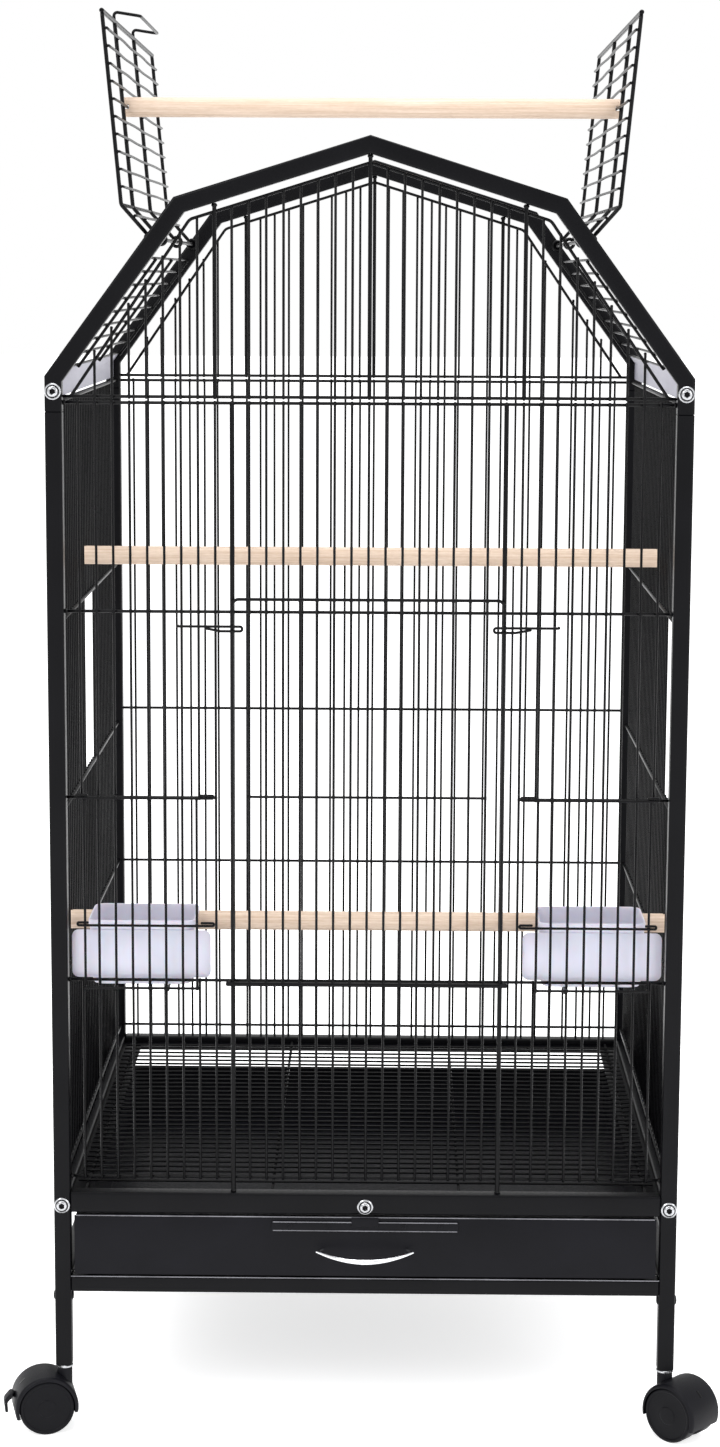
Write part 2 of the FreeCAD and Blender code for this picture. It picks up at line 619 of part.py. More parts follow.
# A guide wire on each side: welded to the bars and turned round the door's side wire.
guides = []
GUIDE_Z = "(door_head - 10)"
GUIDE_FRONT = f"({DOOR_Y} - cross_r - running - bar_r)"
for side in (-1, 1):
    end = f"{DOOR_HALF - 0.5} * bar_pitch" if side > 0 else f"-{DOOR_HALF + 3} * bar_pitch"
    rod(guides, "x", "bar_r", "3.5 * bar_pitch", end, GUIDE_FRONT, GUIDE_Z)
    turn = f"{side} * {DOOR_HALF - 0.5} * bar_pitch"
    rod(guides, "y", "bar_r", "2 * bar_dia", turn, f"{GUIDE_FRONT} + bar_r", GUIDE_Z)
    for place in (DOOR_HALF + 1, DOOR_HALF + 3):
        rod(guides, "y", "bar_r", f"(-post_mid_y) - ({GUIDE_FRONT}) - bar_dia",
            f"{side} * {place} * bar_pitch", f"{GUIDE_FRONT} + bar_r", GUIDE_Z)
weld("door_guides", guides)


# ---------------------------------------------------------------- feeder and nest doors
FEEDER_DOOR_Y = f"({FRONT_BACK} - cross_r - bar_dia - running - bar_r)"
for name, side in (("left", -1), ("right", 1)):
    group = []
    first = FEEDER_EDGE + 1
    low = "(door_sill - 6)"
    for number in range(first, BARS_X + 1):
        rod(group, "z", "bar_r", "feeder_tall", f"{side} * {number} * bar_pitch", FEEDER_DOOR_Y, low)
    start = f"-{BARS_X} * bar_pitch - bar_r" if side < 0 else f"{FEEDER_EDGE} * bar_pitch - bar_dia"
    reach = f"{BARS_X - FEEDER_EDGE} * bar_pitch + bar_dia + bar_r"
    for rise in ("bar_r", "feeder_tall / 3", "feeder_tall - bar_r"):
        rod(group, "x", "bar_r", reach, start, f"{FEEDER_DOOR_Y} - bar_dia", f"{low} + {rise}")
    weld(f"{name}_feeder_door", group)

NEST_DOOR_X = "(post_mid_x + bar_dia + running)"
for name, side, (first, last) in (("left", -1, NEST_LEFT), ("right", 1, NEST_RIGHT)):
    group = []
    low = "(nest_head + cross_dia)"
    for number in range(first + 1, last):
        rod(group, "z", "bar_r", "nest_tall", f"{side} * {NEST_DOOR_X}", f"{number} * bar_pitch", low)
    for rise in ("bar_r", "nest_tall - bar_r"):
        rod(group, "y", "bar_r", f"{last - first} * bar_pitch + 2 * bar_dia", f"{side} * ({NEST_DOOR_X} + bar_dia)",
            f"{first} * bar_pitch - bar_dia", f"{low} + {rise}")
    weld(f"{name}_nest_door", group)


# ---------------------------------------------------------------- feeder cups
CUP_FRONT = "(-post_mid_y + bar_r + cross_dia + 2)"
CUP_X = "(inner_half_x - cup_gap - cup_wide)"
TROUGH_X = f"({CUP_X} + (cup_wide - cup_body_wide) / 2)"
CUP_LOW = "(door_sill - 6)"
for name, side in (("left", -1), ("right", 1)):
    cup = new_body(f"{name}_cup")
    trough_x = TROUGH_X if side > 0 else f"(-{TROUGH_X} - cup_body_wide)"
    plate_x = CUP_X if side > 0 else f"(-{CUP_X} - cup_wide)"
    outline = sketch_on(cup, "XY_Plane", "TroughOutline", CUP_LOW)
    draw_rectangle(outline, left=trough_x, right=f"{trough_x} + cup_body_wide", low=CUP_FRONT,
                   high=f"{CUP_FRONT} + cup_deep")
    trough = cup.newObject("PartDesign::Pad", "Trough")
    trough.Profile = outline
    trough.setExpression("Length", expand("cup_tall"))
    doc.recompute()
    corners = [f"Edge{number}" for number, edge in enumerate(trough.Shape.Edges, start=1)
               if abs(edge.Vertexes[0].Z - edge.Vertexes[1].Z) > 1]
    rounds = cup.newObject("PartDesign::Fillet", "Corners")
    rounds.Base = (trough, corners)
    rounds.setExpression("Radius", expand("cup_round"))
    cup.Tip = rounds
    add_box(cup, "cup_wide", "cup_wall", "plate_tall", x=plate_x, y=CUP_FRONT, z=f"{CUP_LOW} + plate_rise")
    add_box(cup, "cup_body_wide - 2 * cup_wall", "cup_deep - 2 * cup_wall", "cup_tall",
            x=f"{trough_x} + cup_wall", y=f"{CUP_FRONT} + cup_wall", z=f"{CUP_LOW} + cup_wall", cut=True)
    doc.recompute()

# Two bent wires under each cup, carried by the sill wire of the front panel.
REST_Z = "(door_sill - 6 - running)"
rests = []
for side in (-1, 1):
    for share in (0.25, 0.75):
        x = f"{side} * ({TROUGH_X} + {share} * cup_body_wide)"
        rod(rests, "y", "bar_r", "cup_deep - 6", x, f"{FRONT_BACK} + bar_r", f"{REST_Z} - bar_r")
        rod(rests, "z", "bar_r", f"(door_sill - cross_r) - {REST_Z} + bar_dia", x, FRONT_BACK,
            f"{REST_Z} - bar_dia")
weld("cup_rests", rests)


# ---------------------------------------------------------------- floor grate and its ledges
ledges = []
for side in (-1, 1):
    ledge = doc.addObject("Part::Box", "Ledge")
    x = "-inner_half_x" if side < 0 else "inner_half_x - ledge_wide"
    bind(ledge, Length="ledge_wide", Width="bay_deep", Height="sheet_thick",
         x=x, y="-inner_half_y", z="grate_high - running - sheet_thick")
    ledges.append(ledge)
for side in (-1, 1):
    ledge = doc.addObject("Part::Box", "Ledge")
    y = "-inner_half_y" if side < 0 else "inner_half_y - ledge_wide"
    bind(ledge, Length="bay_wide - 2 * ledge_wide", Width="ledge_wide", Height="sheet_thick",
         x="-inner_half_x + ledge_wide", y=y, z="grate_high - running - sheet_thick")
    ledges.append(ledge)
weld("grate_ledges", ledges)

grate = []
GRATE_HALF_X = "(inner_half_x - 3)"
GRATE_HALF_Y = "(inner_half_y - 3)"
grate_rows = int((INNER_Y - SIZE["ledge_wide"]) // PITCH)
for place in (-3, -1, 1, 3):
    rod(grate, "y", "cross_r", f"2 * {GRATE_HALF_Y}", f"{place} * {GRATE_HALF_X} / 3.1", f"-{GRATE_HALF_Y}",
        "grate_high + cross_r")
for number in spread(grate_rows):
    rod(grate, "x", "bar_r", f"2 * {GRATE_HALF_X}", f"-{GRATE_HALF_X}", f"{number} * bar_pitch",
        "grate_high + cross_dia + bar_r")
weld("floor_grate", grate)


# ---------------------------------------------------------------- drawer and runners
runners = []
for side in (-1, 1):
    flat = doc.addObject("Part::Box", "RunnerFlat")
    x = "-inner_half_x" if side < 0 else "inner_half_x - 22"
    bind(flat, Length="22", Width="bay_deep", Height="sheet_thick", x=x, y="-inner_half_y", z="lower_rail_top")
    web = doc.addObject("Part::Box", "RunnerWeb")
    x = "-inner_half_x" if side < 0 else "inner_half_x - sheet_thick"
    bind(web, Length="sheet_thick", Width="bay_deep", Height="tube", x=x, y="-inner_half_y",
         z="lower_rail_bottom")
    angle = doc.addObject("Part::Fuse", "Runner")
    angle.Base = flat
    angle.Tool = web
    angle.Refine = True
    runners.append(angle)
weld("drawer_runners", runners)

drawer = new_body("drawer")
FRONT_X = "(inner_half_x - drawer_side_gap)"
TRAY_X = "(inner_half_x - 3 * drawer_side_gap)"
add_box(drawer, f"2 * {FRONT_X}", "sheet_thick", "drawer_tall", x=f"-{FRONT_X}", y="-outer_deep / 2",
        z="drawer_bottom")
add_box(drawer, f"2 * {TRAY_X}", "outer_deep - tube - 8", "tray_tall", x=f"-{TRAY_X}",
        y="-outer_deep / 2 + sheet_thick", z="drawer_bottom")
add_box(drawer, f"2 * {TRAY_X} - 2 * sheet_thick", "outer_deep - tube - 8 - 2 * sheet_thick", "tray_tall",
        x=f"-{TRAY_X} + sheet_thick", y="-outer_deep / 2 + 2 * sheet_thick",
        z="drawer_bottom + sheet_thick", cut=True)
add_box(drawer, "144", "1.6", "7", x="-72", y="-outer_deep / 2 - 1.6", z="drawer_bottom + drawer_tall - 10.5")
add_box(drawer, "21", "1.2", "7.6", x="-10.5", y="-outer_deep / 2 - 2.8", z="drawer_bottom + drawer_tall - 8")

handle_z = SIZE["rail_top"] - SIZE["front_rail_tall"] - SIZE["drawer_top_gap"] - SIZE["handle_drop"]
reach = SIZE["handle_span"] / 2
face_y = -HALF_Y
bow = Part.Arc(V(-reach - 4, face_y - 7, handle_z), V(0, face_y - SIZE["handle_out"], handle_z - SIZE["handle_sag"]),
               V(reach + 4, face_y - 7, handle_z))
bow_path = Part.Wire([bow.toShape()])
start_way = bow.toShape().tangentAt(bow.FirstParameter)
profile = Part.Wire([Part.makeCircle(SIZE["handle_dia"] / 2, V(-reach - 4, face_y - 7, handle_z), start_way)])
rod_solid = bow_path.makePipeShell([profile], True, True)
feet = [straight(V(side * reach, face_y, handle_z), V(side * reach, face_y - 9.0, handle_z),
                 SIZE["handle_dia"] / 2 + 0.6) for side in (-1, 1)]
fixed("drawer_handle", rod_solid.multiFuse(feet).removeSplitter())

screws = []
for side in (-1, 1):
    shank = straight(V(side * reach, face_y + 2 * SIZE["sheet_thick"] + 1.8, handle_z),
                     V(side * reach, face_y + 2 * SIZE["sheet_thick"], handle_z), 3.4)
    screws.append(shank)
fixed("handle_screws", Part.makeCompound(screws))


# ---------------------------------------------------------------- frame bolts and leg screws
def button_bolt(x, y, z, way):
    """A button-head bolt with a hexagon socket, its head standing out along way."""
    head_r = SIZE["bolt_head"] / 2
    tall = 0.3 * SIZE["bolt_head"]
    dome_r = (head_r ** 2 + tall ** 2) / (2 * tall)
    head = Part.makeCylinder(head_r, tall, V(0, 0, 0))
    head = head.common(Part.makeSphere(dome_r, V(0, 0, tall - dome_r)))
    points = [V(2.3 * math.cos(math.radians(60 * turn)), 2.3 * math.sin(math.radians(60 * turn)), tall - 2.2)
              for turn in range(7)]
    head = head.cut(Part.Face(Part.makePolygon(points)).extrude(V(0, 0, 4)))
    head.Placement = FreeCAD.Placement(V(x, y, z), FreeCAD.Rotation(Z_AXIS, way))
    return head


bolts = []
for sign in (-1, 1):
    way = V(0, sign, 0)
    for x in (-POST_X, POST_X):
        bolts.append(button_bolt(x, sign * HALF_Y, EAVE - SIZE["eave_bolt_drop"], way))
        bolts.append(button_bolt(x, sign * HALF_Y, SIZE["bolt_high"], way))
    bolts.append(button_bolt(0, sign * HALF_Y, SIZE["bolt_high"] + 0.5, way))
fixed("frame_bolts", Part.makeCompound(bolts))

SCREW_R = 3.8
SCREW_TALL = 1.5
screws = []
screw_z = SIZE["lower_rail_bottom"] - SIZE["leg_screw_drop"]
for x_sign in (-1, 1):
    for y in (-POST_Y, POST_Y):
        for face, way in ((HALF_X, x_sign), (INNER_X, -x_sign)):
            head = Part.makeCylinder(SCREW_R, SCREW_TALL, V(x_sign * face, y, screw_z), V(way, 0, 0))
            rim = [edge for edge in head.Edges if abs(edge.BoundBox.Center.x - x_sign * face - way * SCREW_TALL) < 1e-6]
            screws.append(head.makeChamfer(0.7, rim))
fixed("leg_screws", Part.makeCompound(screws))


# ---------------------------------------------------------------- casters
LEG_Z = SIZE["leg_bottom"]
RING_TALL = 2.0
HOOD_TOP = LEG_Z - RING_TALL - 0.3
WHEEL_R = SIZE["wheel_dia"] / 2
STEM_R = SIZE["stem_dia"] / 2
WHEEL_CAP = 2.0
LEVER_X = SIZE["caster_trail"] + WHEEL_R + 1.0 + SIZE["hood_thick"] + 0.4
LEVER_PIN = (LEVER_X - 2.2, WHEEL_R + 7.0)
plugs = []
rings = []
for x in (-POST_X, POST_X):
    for y in (-POST_Y, POST_Y):
        side = TUBE - 2 * SIZE["tube_wall"]
        block = Part.makeBox(side, side, 26, V(x - side / 2, y - side / 2, LEG_Z))
        plugs.append(block.cut(Part.makeCylinder(STEM_R + 0.1, 28, V(x, y, LEG_Z - 1))))
        ring = Part.makeCylinder(TUBE / 2 + 0.4, RING_TALL, V(x, y, LEG_Z - RING_TALL))
        rings.append(ring.cut(Part.makeCylinder(STEM_R + 0.1, RING_TALL + 2, V(x, y, LEG_Z - RING_TALL - 1))))
fixed("leg_plugs", Part.makeCompound(plugs))
fixed("caster_rings", Part.makeCompound(rings))


def caster_place(x, y, turn):
    """Where a caster stands, with its trail turned from +X about the stem."""
    return FreeCAD.Placement(V(x, y, 0), FreeCAD.Rotation(Z_AXIS, turn))


def caster_hood():
    """The caster's body: stem, web between the wheels, axle and the hood over both wheels."""
    trail = SIZE["caster_trail"]
    split = SIZE["wheel_split"] - 1.0
    wide = SIZE["wheel_split"] + 2 * SIZE["wheel_thick"] + 1.0
    outer_r = WHEEL_R + 1.0 + SIZE["hood_thick"]
    inner_r = WHEEL_R + 1.0
    axle = V(trail, 0, WHEEL_R)
    drum = Part.makeCylinder(outer_r, wide, V(trail, -wide / 2, WHEEL_R), Y_AXIS)
    hollow = Part.makeCylinder(inner_r, wide + 2, V(trail, -wide / 2 - 1, WHEEL_R), Y_AXIS)
    shell = drum.cut(hollow)
    behind = Part.makeBox(40, 80, 60, V(trail, -40, WHEEL_R - 8))
    ahead = Part.makeBox(40, 80, 60, V(trail - 40, -40, WHEEL_R - 5))
    shell = shell.common(behind.fuse(ahead))
    web = Part.makeCylinder(outer_r - 0.1, split, V(trail, -split / 2, WHEEL_R), Y_AXIS)
    web = web.common(Part.makeBox(80, 80, 60, V(trail - 40, -40, WHEEL_R - 5)))
    collar = Part.makeCylinder(SIZE["collar_dia"] / 2, HOOD_TOP - WHEEL_R - 8, V(0, 0, WHEEL_R + 8))
    collar = collar.cut(hollow).fuse(collar.common(web))
    stem = Part.makeCylinder(STEM_R, 24 + LEG_Z - HOOD_TOP, V(0, 0, HOOD_TOP))
    half = SIZE["wheel_split"] / 2 + SIZE["wheel_thick"] - WHEEL_CAP - 0.4
    spindle = Part.makeCylinder(SIZE["axle_dia"] / 2, 2 * half, V(trail, -half, WHEEL_R), Y_AXIS)
    body = shell.multiFuse([web, collar, stem, spindle]).removeSplitter()
    limit = Part.makeBox(120, 120, HOOD_TOP, V(-60, -60, 0)).fuse(Part.makeCylinder(STEM_R, 60, V(0, 0, HOOD_TOP)))
    return body.common(limit)


def caster_wheels():
    """Two wheels with a dished face each, turning together on the axle."""
    trail = SIZE["caster_trail"]
    solids = []
    for side in (-1, 1):
        inside = side * SIZE["wheel_split"] / 2
        start = min(inside, inside + side * SIZE["wheel_thick"])
        wheel = Part.makeCylinder(WHEEL_R, SIZE["wheel_thick"], V(trail, start, WHEEL_R), Y_AXIS)
        rims = [edge for edge in wheel.Edges if abs(edge.Length - 2 * math.pi * WHEEL_R) < 1e-3]
        wheel = wheel.makeFillet(1.6, rims)
        face = inside + side * SIZE["wheel_thick"]
        dish_start = min(face, face - side * 1.2)
        ring = Part.makeCylinder(WHEEL_R - 4, 1.2, V(trail, dish_start, WHEEL_R), Y_AXIS)
        ring = ring.cut(Part.makeCylinder(6.5, 1.2, V(trail, dish_start, WHEEL_R), Y_AXIS))
        wheel = wheel.cut(ring)
        deep = SIZE["wheel_thick"] - WHEEL_CAP
        bore = Part.makeCylinder(SIZE["axle_dia"] / 2 + 0.08, deep,
                                 V(trail, inside if side > 0 else inside - deep, WHEEL_R), Y_AXIS)
        solids.append(wheel.cut(bore))
    return Part.makeCompound(solids)


def brake_lever():
    """A small pedal behind the hood, with a tongue and a pin held in the hood's slot."""
    pad = Part.makeBox(6.6, 12, 2.6, V(LEVER_X, -6, WHEEL_R + 8))
    tail = Part.makeBox(2.6, 12, 16.6, V(LEVER_X + 4, -6, WHEEL_R - 6))
    root = Part.makeBox(2.2, 12, 6, V(LEVER_X, -6, WHEEL_R + 4))
    tongue = Part.makeBox(4.4, 3, 4, V(LEVER_X - 4.4, -1.5, WHEEL_R + 5))
    pin = Part.makeCylinder(1.0, 6.4, V(LEVER_PIN[0], -3.2, LEVER_PIN[1]), Y_AXIS)
    return pad.multiFuse([tail, root, tongue, pin]).removeSplitter()


def lever_seat():
    """The slot and the pin bore that the brake lever needs in the hood."""
    slot = Part.makeBox(14, 3.8, 9, V(LEVER_X - 6.6, -1.9, WHEEL_R + 2.5))
    bore = Part.makeCylinder(1.08, 6.6, V(LEVER_PIN[0], -3.3, LEVER_PIN[1]), Y_AXIS)
    return slot.fuse(bore)


CASTERS = (("front_left", -1, -1, 193.0), ("front_right", 1, -1, -42.0),
           ("rear_right", 1, 1, 13.0), ("rear_left", -1, 1, 138.0))
for name, x_sign, y_sign, turn in CASTERS:
    place = caster_place(x_sign * POST_X, y_sign * POST_Y, turn)
    braked = name in ("front_left", "rear_right")
    hood = caster_hood()
    if braked:
        hood = hood.cut(lever_seat())
    fixed(f"{name}_caster", hood).Placement = place
    fixed(f"{name}_wheels", caster_wheels()).Placement = place
    if braked:
        fixed(f"{name}_brake", brake_lever()).Placement = place


# ---------------------------------------------------------------- check and export
doc.recompute()
for item in doc.Objects:
    if "Invalid" in item.State or "Error" in item.State:
        raise RuntimeError(f"{item.Name} ({item.Label}) failed: {item.State}")

whole = FreeCAD.BoundBox()
for label, item in parts.items():
    if item.Shape.isNull() or not item.Shape.isValid() or not item.Shape.Solids:
        raise RuntimeError(f"{label} has no valid solid")
    whole.add(item.Shape.optimalBoundingBox(False, False))

# The origin is on the floor, under the middle of the bounding box.
origin = V(-whole.Center.x, -whole.Center.y, -whole.ZMin)
print("shift", tuple(round(value, 4) for value in origin))
os.makedirs("parts", exist_ok=True)
for label, item in parts.items():
    shape = item.Shape.copy()
    shape.translate(origin)
    shape.exportStep(f"parts/{label}.step")
    print(f"{label:20s} solids {len(shape.Solids):3d}  volume {shape.Volume:10.1f}")
print(len(parts), "files")
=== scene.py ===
# %% [markdown]
# # A bird cage on short wheeled legs
# The real cage is black coated steel: square tube for the frame and thin round wire for the
# walls, with wooden perches, plastic cups and small casters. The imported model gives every
# place and size. Here each piece is made again as a smooth surface with the bends, weld
# spots and rounded edges of the real one, and is given its finish.

# %% Load the frame
import math
import bpy
import numpy as np
from mathutils import Matrix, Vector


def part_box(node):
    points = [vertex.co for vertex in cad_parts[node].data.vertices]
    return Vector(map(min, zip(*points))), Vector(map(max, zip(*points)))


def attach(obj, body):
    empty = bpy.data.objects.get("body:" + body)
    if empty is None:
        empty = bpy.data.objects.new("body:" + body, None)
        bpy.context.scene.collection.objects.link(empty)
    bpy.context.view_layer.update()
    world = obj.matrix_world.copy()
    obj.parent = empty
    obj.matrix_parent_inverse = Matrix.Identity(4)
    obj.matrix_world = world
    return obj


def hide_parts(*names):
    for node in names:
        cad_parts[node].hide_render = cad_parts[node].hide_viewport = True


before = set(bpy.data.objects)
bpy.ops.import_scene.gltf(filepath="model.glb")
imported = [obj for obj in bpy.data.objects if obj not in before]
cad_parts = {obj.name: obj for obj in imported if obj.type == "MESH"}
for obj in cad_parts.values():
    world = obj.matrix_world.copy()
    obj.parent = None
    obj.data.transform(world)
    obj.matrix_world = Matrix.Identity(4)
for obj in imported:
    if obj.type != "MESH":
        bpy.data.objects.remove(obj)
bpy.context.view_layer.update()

# %% [markdown]
# ## Skins from rings
# A tube, a wheel, a cup and a wire are all rings of points joined into a skin, so each shape
# only says where its rings are. Lengths are in millimetres until a piece is made.

# %% Join rings of points into a closed skin
X, Y, Z = np.eye(3)


def unit(vector):
    """Each row of an array, scaled to length one."""
    vector = np.asarray(vector, float)
    return vector / np.linalg.norm(vector, axis=-1, keepdims=True)


def skin(rings, loop=False):
    """Points and faces of closed skins: quads from each ring to the next, and a flat cap at
    each end. rings is skins x rings x points x 3; each ring turns anticlockwise as seen from
    ahead, so the faces point outwards."""
    rings = np.asarray(rings, float)
    rings = rings[None] if rings.ndim == 3 else rings
    many, rows, columns = rings.shape[:3]
    row = np.arange(rows if loop else rows - 1)[:, None]
    column = np.arange(columns)[None]
    ahead, right = (row + 1) % rows, (column + 1) % columns
    quads = np.stack([row * columns + column, row * columns + right,
                      ahead * columns + right, ahead * columns + column], axis=-1)
    starts = np.arange(many)[:, None, None] * rows * columns
    faces = (quads.reshape(1, -1, 4) + starts).reshape(-1, 4).tolist()
    if not loop:
        cap = np.arange(columns)
        caps = np.stack([cap[::-1], cap + (rows - 1) * columns])[None] + starts
        faces += caps.reshape(-1, columns).tolist()
    return rings.reshape(-1, 3), faces


print("a skin of three square rings has", len(skin(np.zeros((3, 4, 3)))[1]), "faces")

# %% [markdown]
# ## A profile carried along a path
# Bent wire and bent tube are drawn as a path with round corners and a profile carried along
# it. A wire's profile is a circle and a tube's is a square with rounded corners.

# %% Paths, profiles and sweeps
def rounded(points, radius, loop=False):
    """A path with an arc at each corner. The arc starts radius * tan(turn / 2) before the
    corner, and its points are centre + r * (cos t * out + sin t * along)."""
    points = [np.asarray(point, float) for point in points]
    runs = []
    for place, here in enumerate(points):
        if not loop and place in (0, len(points) - 1):
            runs.append(here[None])
            continue
        back = points[place - 1] - here
        ahead = points[(place + 1) % len(points)] - here
        shorter = min(np.linalg.norm(back), np.linalg.norm(ahead))
        back, ahead = unit(back), unit(ahead)
        swing = math.pi - math.acos(np.clip(back @ ahead, -1, 1))
        if swing < 0.02:
            runs.append(here[None])
            continue
        cut = min(radius * math.tan(swing / 2), 0.45 * shorter)
        arc = cut / math.tan(swing / 2)
        centre = here + unit(back + ahead) * arc / math.cos(swing / 2)
        t = np.linspace(0, swing, max(3, math.ceil(swing / 0.24)) + 1)[:, None]
        runs.append(centre + np.cos(t) * (here + back * cut - centre) - np.sin(t) * back * arc)
    return np.vstack(runs)


def circle(sides):
    """Points round a circle of radius one, anticlockwise."""
    angle = np.linspace(0, 2 * math.pi, sides, endpoint=False)
    return np.stack([np.cos(angle), np.sin(angle)], axis=-1)


def round_rectangle(width, height, radius, steps=3):
    """Points round a rectangle: four quarter circles about the corners' centres."""
    reach = [width / 2 - radius, height / 2 - radius]
    centres = np.array([[1, 1], [-1, 1], [-1, -1], [1, -1]]) * reach
    angle = np.linspace(0, math.pi / 2, steps + 1)[None] + np.arange(4)[:, None] * math.pi / 2
    arcs = radius * np.stack([np.cos(angle), np.sin(angle)], axis=-1)
    return (centres[:, None] + arcs).reshape(-1, 2)


def sweep(path, profile, up, loop=False):
    """Rings of path + u * side / cos(half the turn) + v * top, where side is square to the path
    and to up, so a tube keeps its width round a mitre. The profile is points x 2, or rings x
    points x 2 where it changes along the path."""
    path = np.asarray(path, float)
    step = unit(np.diff(path, axis=0, append=path[:1]) if loop else np.diff(path, axis=0))
    if loop:
        way = unit(step + np.roll(step, 1, axis=0))
    else:
        way = unit(np.vstack([step[:1], step[:-1] + step[1:], step[-1:]]))
    side = unit(np.cross(up, way))
    top = np.cross(way, side)
    after = step if loop else np.vstack([step, step[-1:]])
    side = side / np.sum(way * after, axis=1, keepdims=True)
    profile = np.broadcast_to(profile, (len(path),) + np.shape(profile)[-2:])
    rings = path[:, None] + profile[..., :1] * side[:, None] + profile[..., 1:] * top[:, None]
    return skin(rings, loop)


def wire(points, radius, up=Y, bend=3.0, sides=10, loop=False):
    """A bent round wire: a circle swept along a rounded path, with its two tips drawn in."""
    path = rounded(points, bend, loop)
    if loop:
        return sweep(path, radius * circle(sides), up, loop=True)
    first, last = unit(path[1] - path[0]), unit(path[-2] - path[-1])
    tips = path[0] + first * radius * 0.5, path[-1] + last * radius * 0.5
    path = np.vstack([path[:1], tips[0][None], path[1:-1], tips[1][None], path[-1:]])
    sizes = np.ones(len(path))
    sizes[[0, -1]] = 0.6
    return sweep(path, radius * sizes[:, None, None] * circle(sides), up)


def rods(starts, ends, radius, sides=8):
    """Many straight wires at once: four rings each, start + along * way + size * circle, with
    the outer two drawn in so that the cut ends are not sharp."""
    starts, ends = np.atleast_2d(starts).astype(float), np.atleast_2d(ends).astype(float)
    run = np.linalg.norm(ends - starts, axis=1)
    way = unit(ends - starts)
    side = unit(np.cross(np.where(np.abs(way[:, :1]) < 0.9, X, Y), way))
    top = np.cross(way, side)
    radius = np.broadcast_to(np.asarray(radius, float), run.shape)
    along = np.stack([0 * run, 0.45 * radius, run - 0.45 * radius, run], axis=1)
    size = radius[:, None] * np.array([0.6, 1.0, 1.0, 0.6])
    ring = circle(sides)[:, :1] * side[:, None] + circle(sides)[:, 1:] * top[:, None]
    centres = starts[:, None] + along[..., None] * way[:, None]
    return skin(centres[:, :, None] + size[..., None, None] * ring[:, None])


print("a wire bent once has", len(wire([[0, 0, 0], [30, 0, 0], [30, 0, 30]], 1.0)[0]), "points")

# %% [markdown]
# ## Turned, stacked and folded shapes
# Bolts and wheels are turned, so an outline goes round an axis. A cup is a stack of rounded
# rectangles. Flat bars and folded sheet are swept rounded rectangles with their ends drawn
# in, because coated edges are never knife sharp.

# %% Turned parts, stacks and bars
def turn(outline, base, axis, sides=32):
    """Rings of base + height * axis + r * circle for rows of (radius, height, hexagon). Where
    hexagon is 1 the radius follows cos 30 / cos(angle from the nearest flat)."""
    outline = np.asarray([list(row) + [0] * (3 - len(row)) for row in outline], float)
    axis = unit(axis)
    side = unit(np.cross(axis, Z if abs(axis[2]) < 0.9 else Y))
    angle = np.linspace(0, 2 * math.pi, sides, endpoint=False)
    flat = math.cos(math.pi / 6) / np.cos((angle + math.pi / 6) % (math.pi / 3) - math.pi / 6)
    radius = outline[:, :1] * (1 + outline[:, 2:] * (flat - 1))
    ring = circle(sides)[:, :1] * side + circle(sides)[:, 1:] * np.cross(axis, side)
    rings = np.asarray(base, float) + outline[:, 1, None, None] * axis + radius[..., None] * ring
    return skin(rings)


def stack(rows, centre, steps=5):
    """Rings for rows of (width, depth, corner, height): rounded rectangles one over another."""
    rings = [np.insert(round_rectangle(wide, deep, corner, steps), 2, height, axis=1)
             for wide, deep, corner, height in rows]
    return skin(np.asarray(rings) + np.asarray(centre, float))


def bar(low, high, axis, edge=1.0, steps=3):
    """A straight bar between two corners, along X, Y or Z, with every edge rounded."""
    low, high = np.asarray(low, float), np.asarray(high, float)
    way, up = {"x": (X, Z), "y": (Y, Z), "z": (Z, Y)}[axis]
    wide, tall = np.abs(np.cross(up, way)) @ (high - low), up @ (high - low)
    middle = (low + high) / 2
    half = way * (way @ (high - low)) / 2
    edge = min(edge, 0.45 * wide, 0.45 * tall)
    full = round_rectangle(wide, tall, edge, steps)
    small = round_rectangle(wide - edge, tall - edge, 0.5 * edge, steps)
    ease = way * 0.5 * edge
    path = [middle - half, middle - half + ease, middle + half - ease, middle + half]
    return sweep(path, np.stack([small, full, full, small]), up)


print("a bar has", len(bar([0, 0, 0], [10, 10, 50], "z")[0]), "points")

# %% [markdown]
# ## Making a piece
# A piece is one mesh object. It rides on a body, takes the place of plain nodes and names
# its finish. Faces are smooth, and edges sharper than 40 degrees stay crisp.

# %% Turn shapes into a piece
pieces = {}


def piece(name, shapes, material, body, replaces=()):
    """Join (points, faces) shapes into one object, in metres, riding on a body."""
    counts = np.cumsum([0] + [len(points) for points, faces in shapes])
    points = np.vstack([points for points, faces in shapes]) * 0.001
    faces = [[corner + start for corner in face]
             for start, (_, group) in zip(counts.tolist(), shapes) for face in group]
    mesh = bpy.data.meshes.new(name)
    mesh.from_pydata(points.tolist(), [], faces)
    mesh.polygons.foreach_set("use_smooth", np.ones(len(faces), bool))
    mesh.set_sharp_from_angle(angle=math.radians(40))
    mesh.materials.append(material)
    mesh.update()
    item = bpy.data.objects.new(name, mesh)
    bpy.context.scene.collection.objects.link(item)
    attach(item, body)
    if replaces:
        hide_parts(*replaces)
    pieces[name] = item
    print(f"{name}: {len(points)} points, {len(faces)} faces")


def wirework(name, shapes, body, replaced=None):
    """A piece of coated wire that takes the place of one node, by default its body's own."""
    piece(name, shapes, wire_coat, body, [replaced or body])


def corners(node):
    """A node's lowest and highest corner in millimetres."""
    low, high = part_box(node)
    return np.array(low) * 1000, np.array(high) * 1000


# %% [markdown]
# ## Finishes
# Each finish is a coating, a wood, a moulded plastic or a plated metal. Pattern scales come
# from real sizes in millimetres.

# %% Helpers for finishes
def linear(hex_colour):
    """An sRGB hex colour as linear red, green, blue and alpha."""
    value = np.array([int(hex_colour[place:place + 2], 16) for place in (1, 3, 5)]) / 255
    low, high = value / 12.92, ((value + 0.055) / 1.055) ** 2.4
    return [*np.where(value <= 0.04045, low, high).tolist(), 1.0]


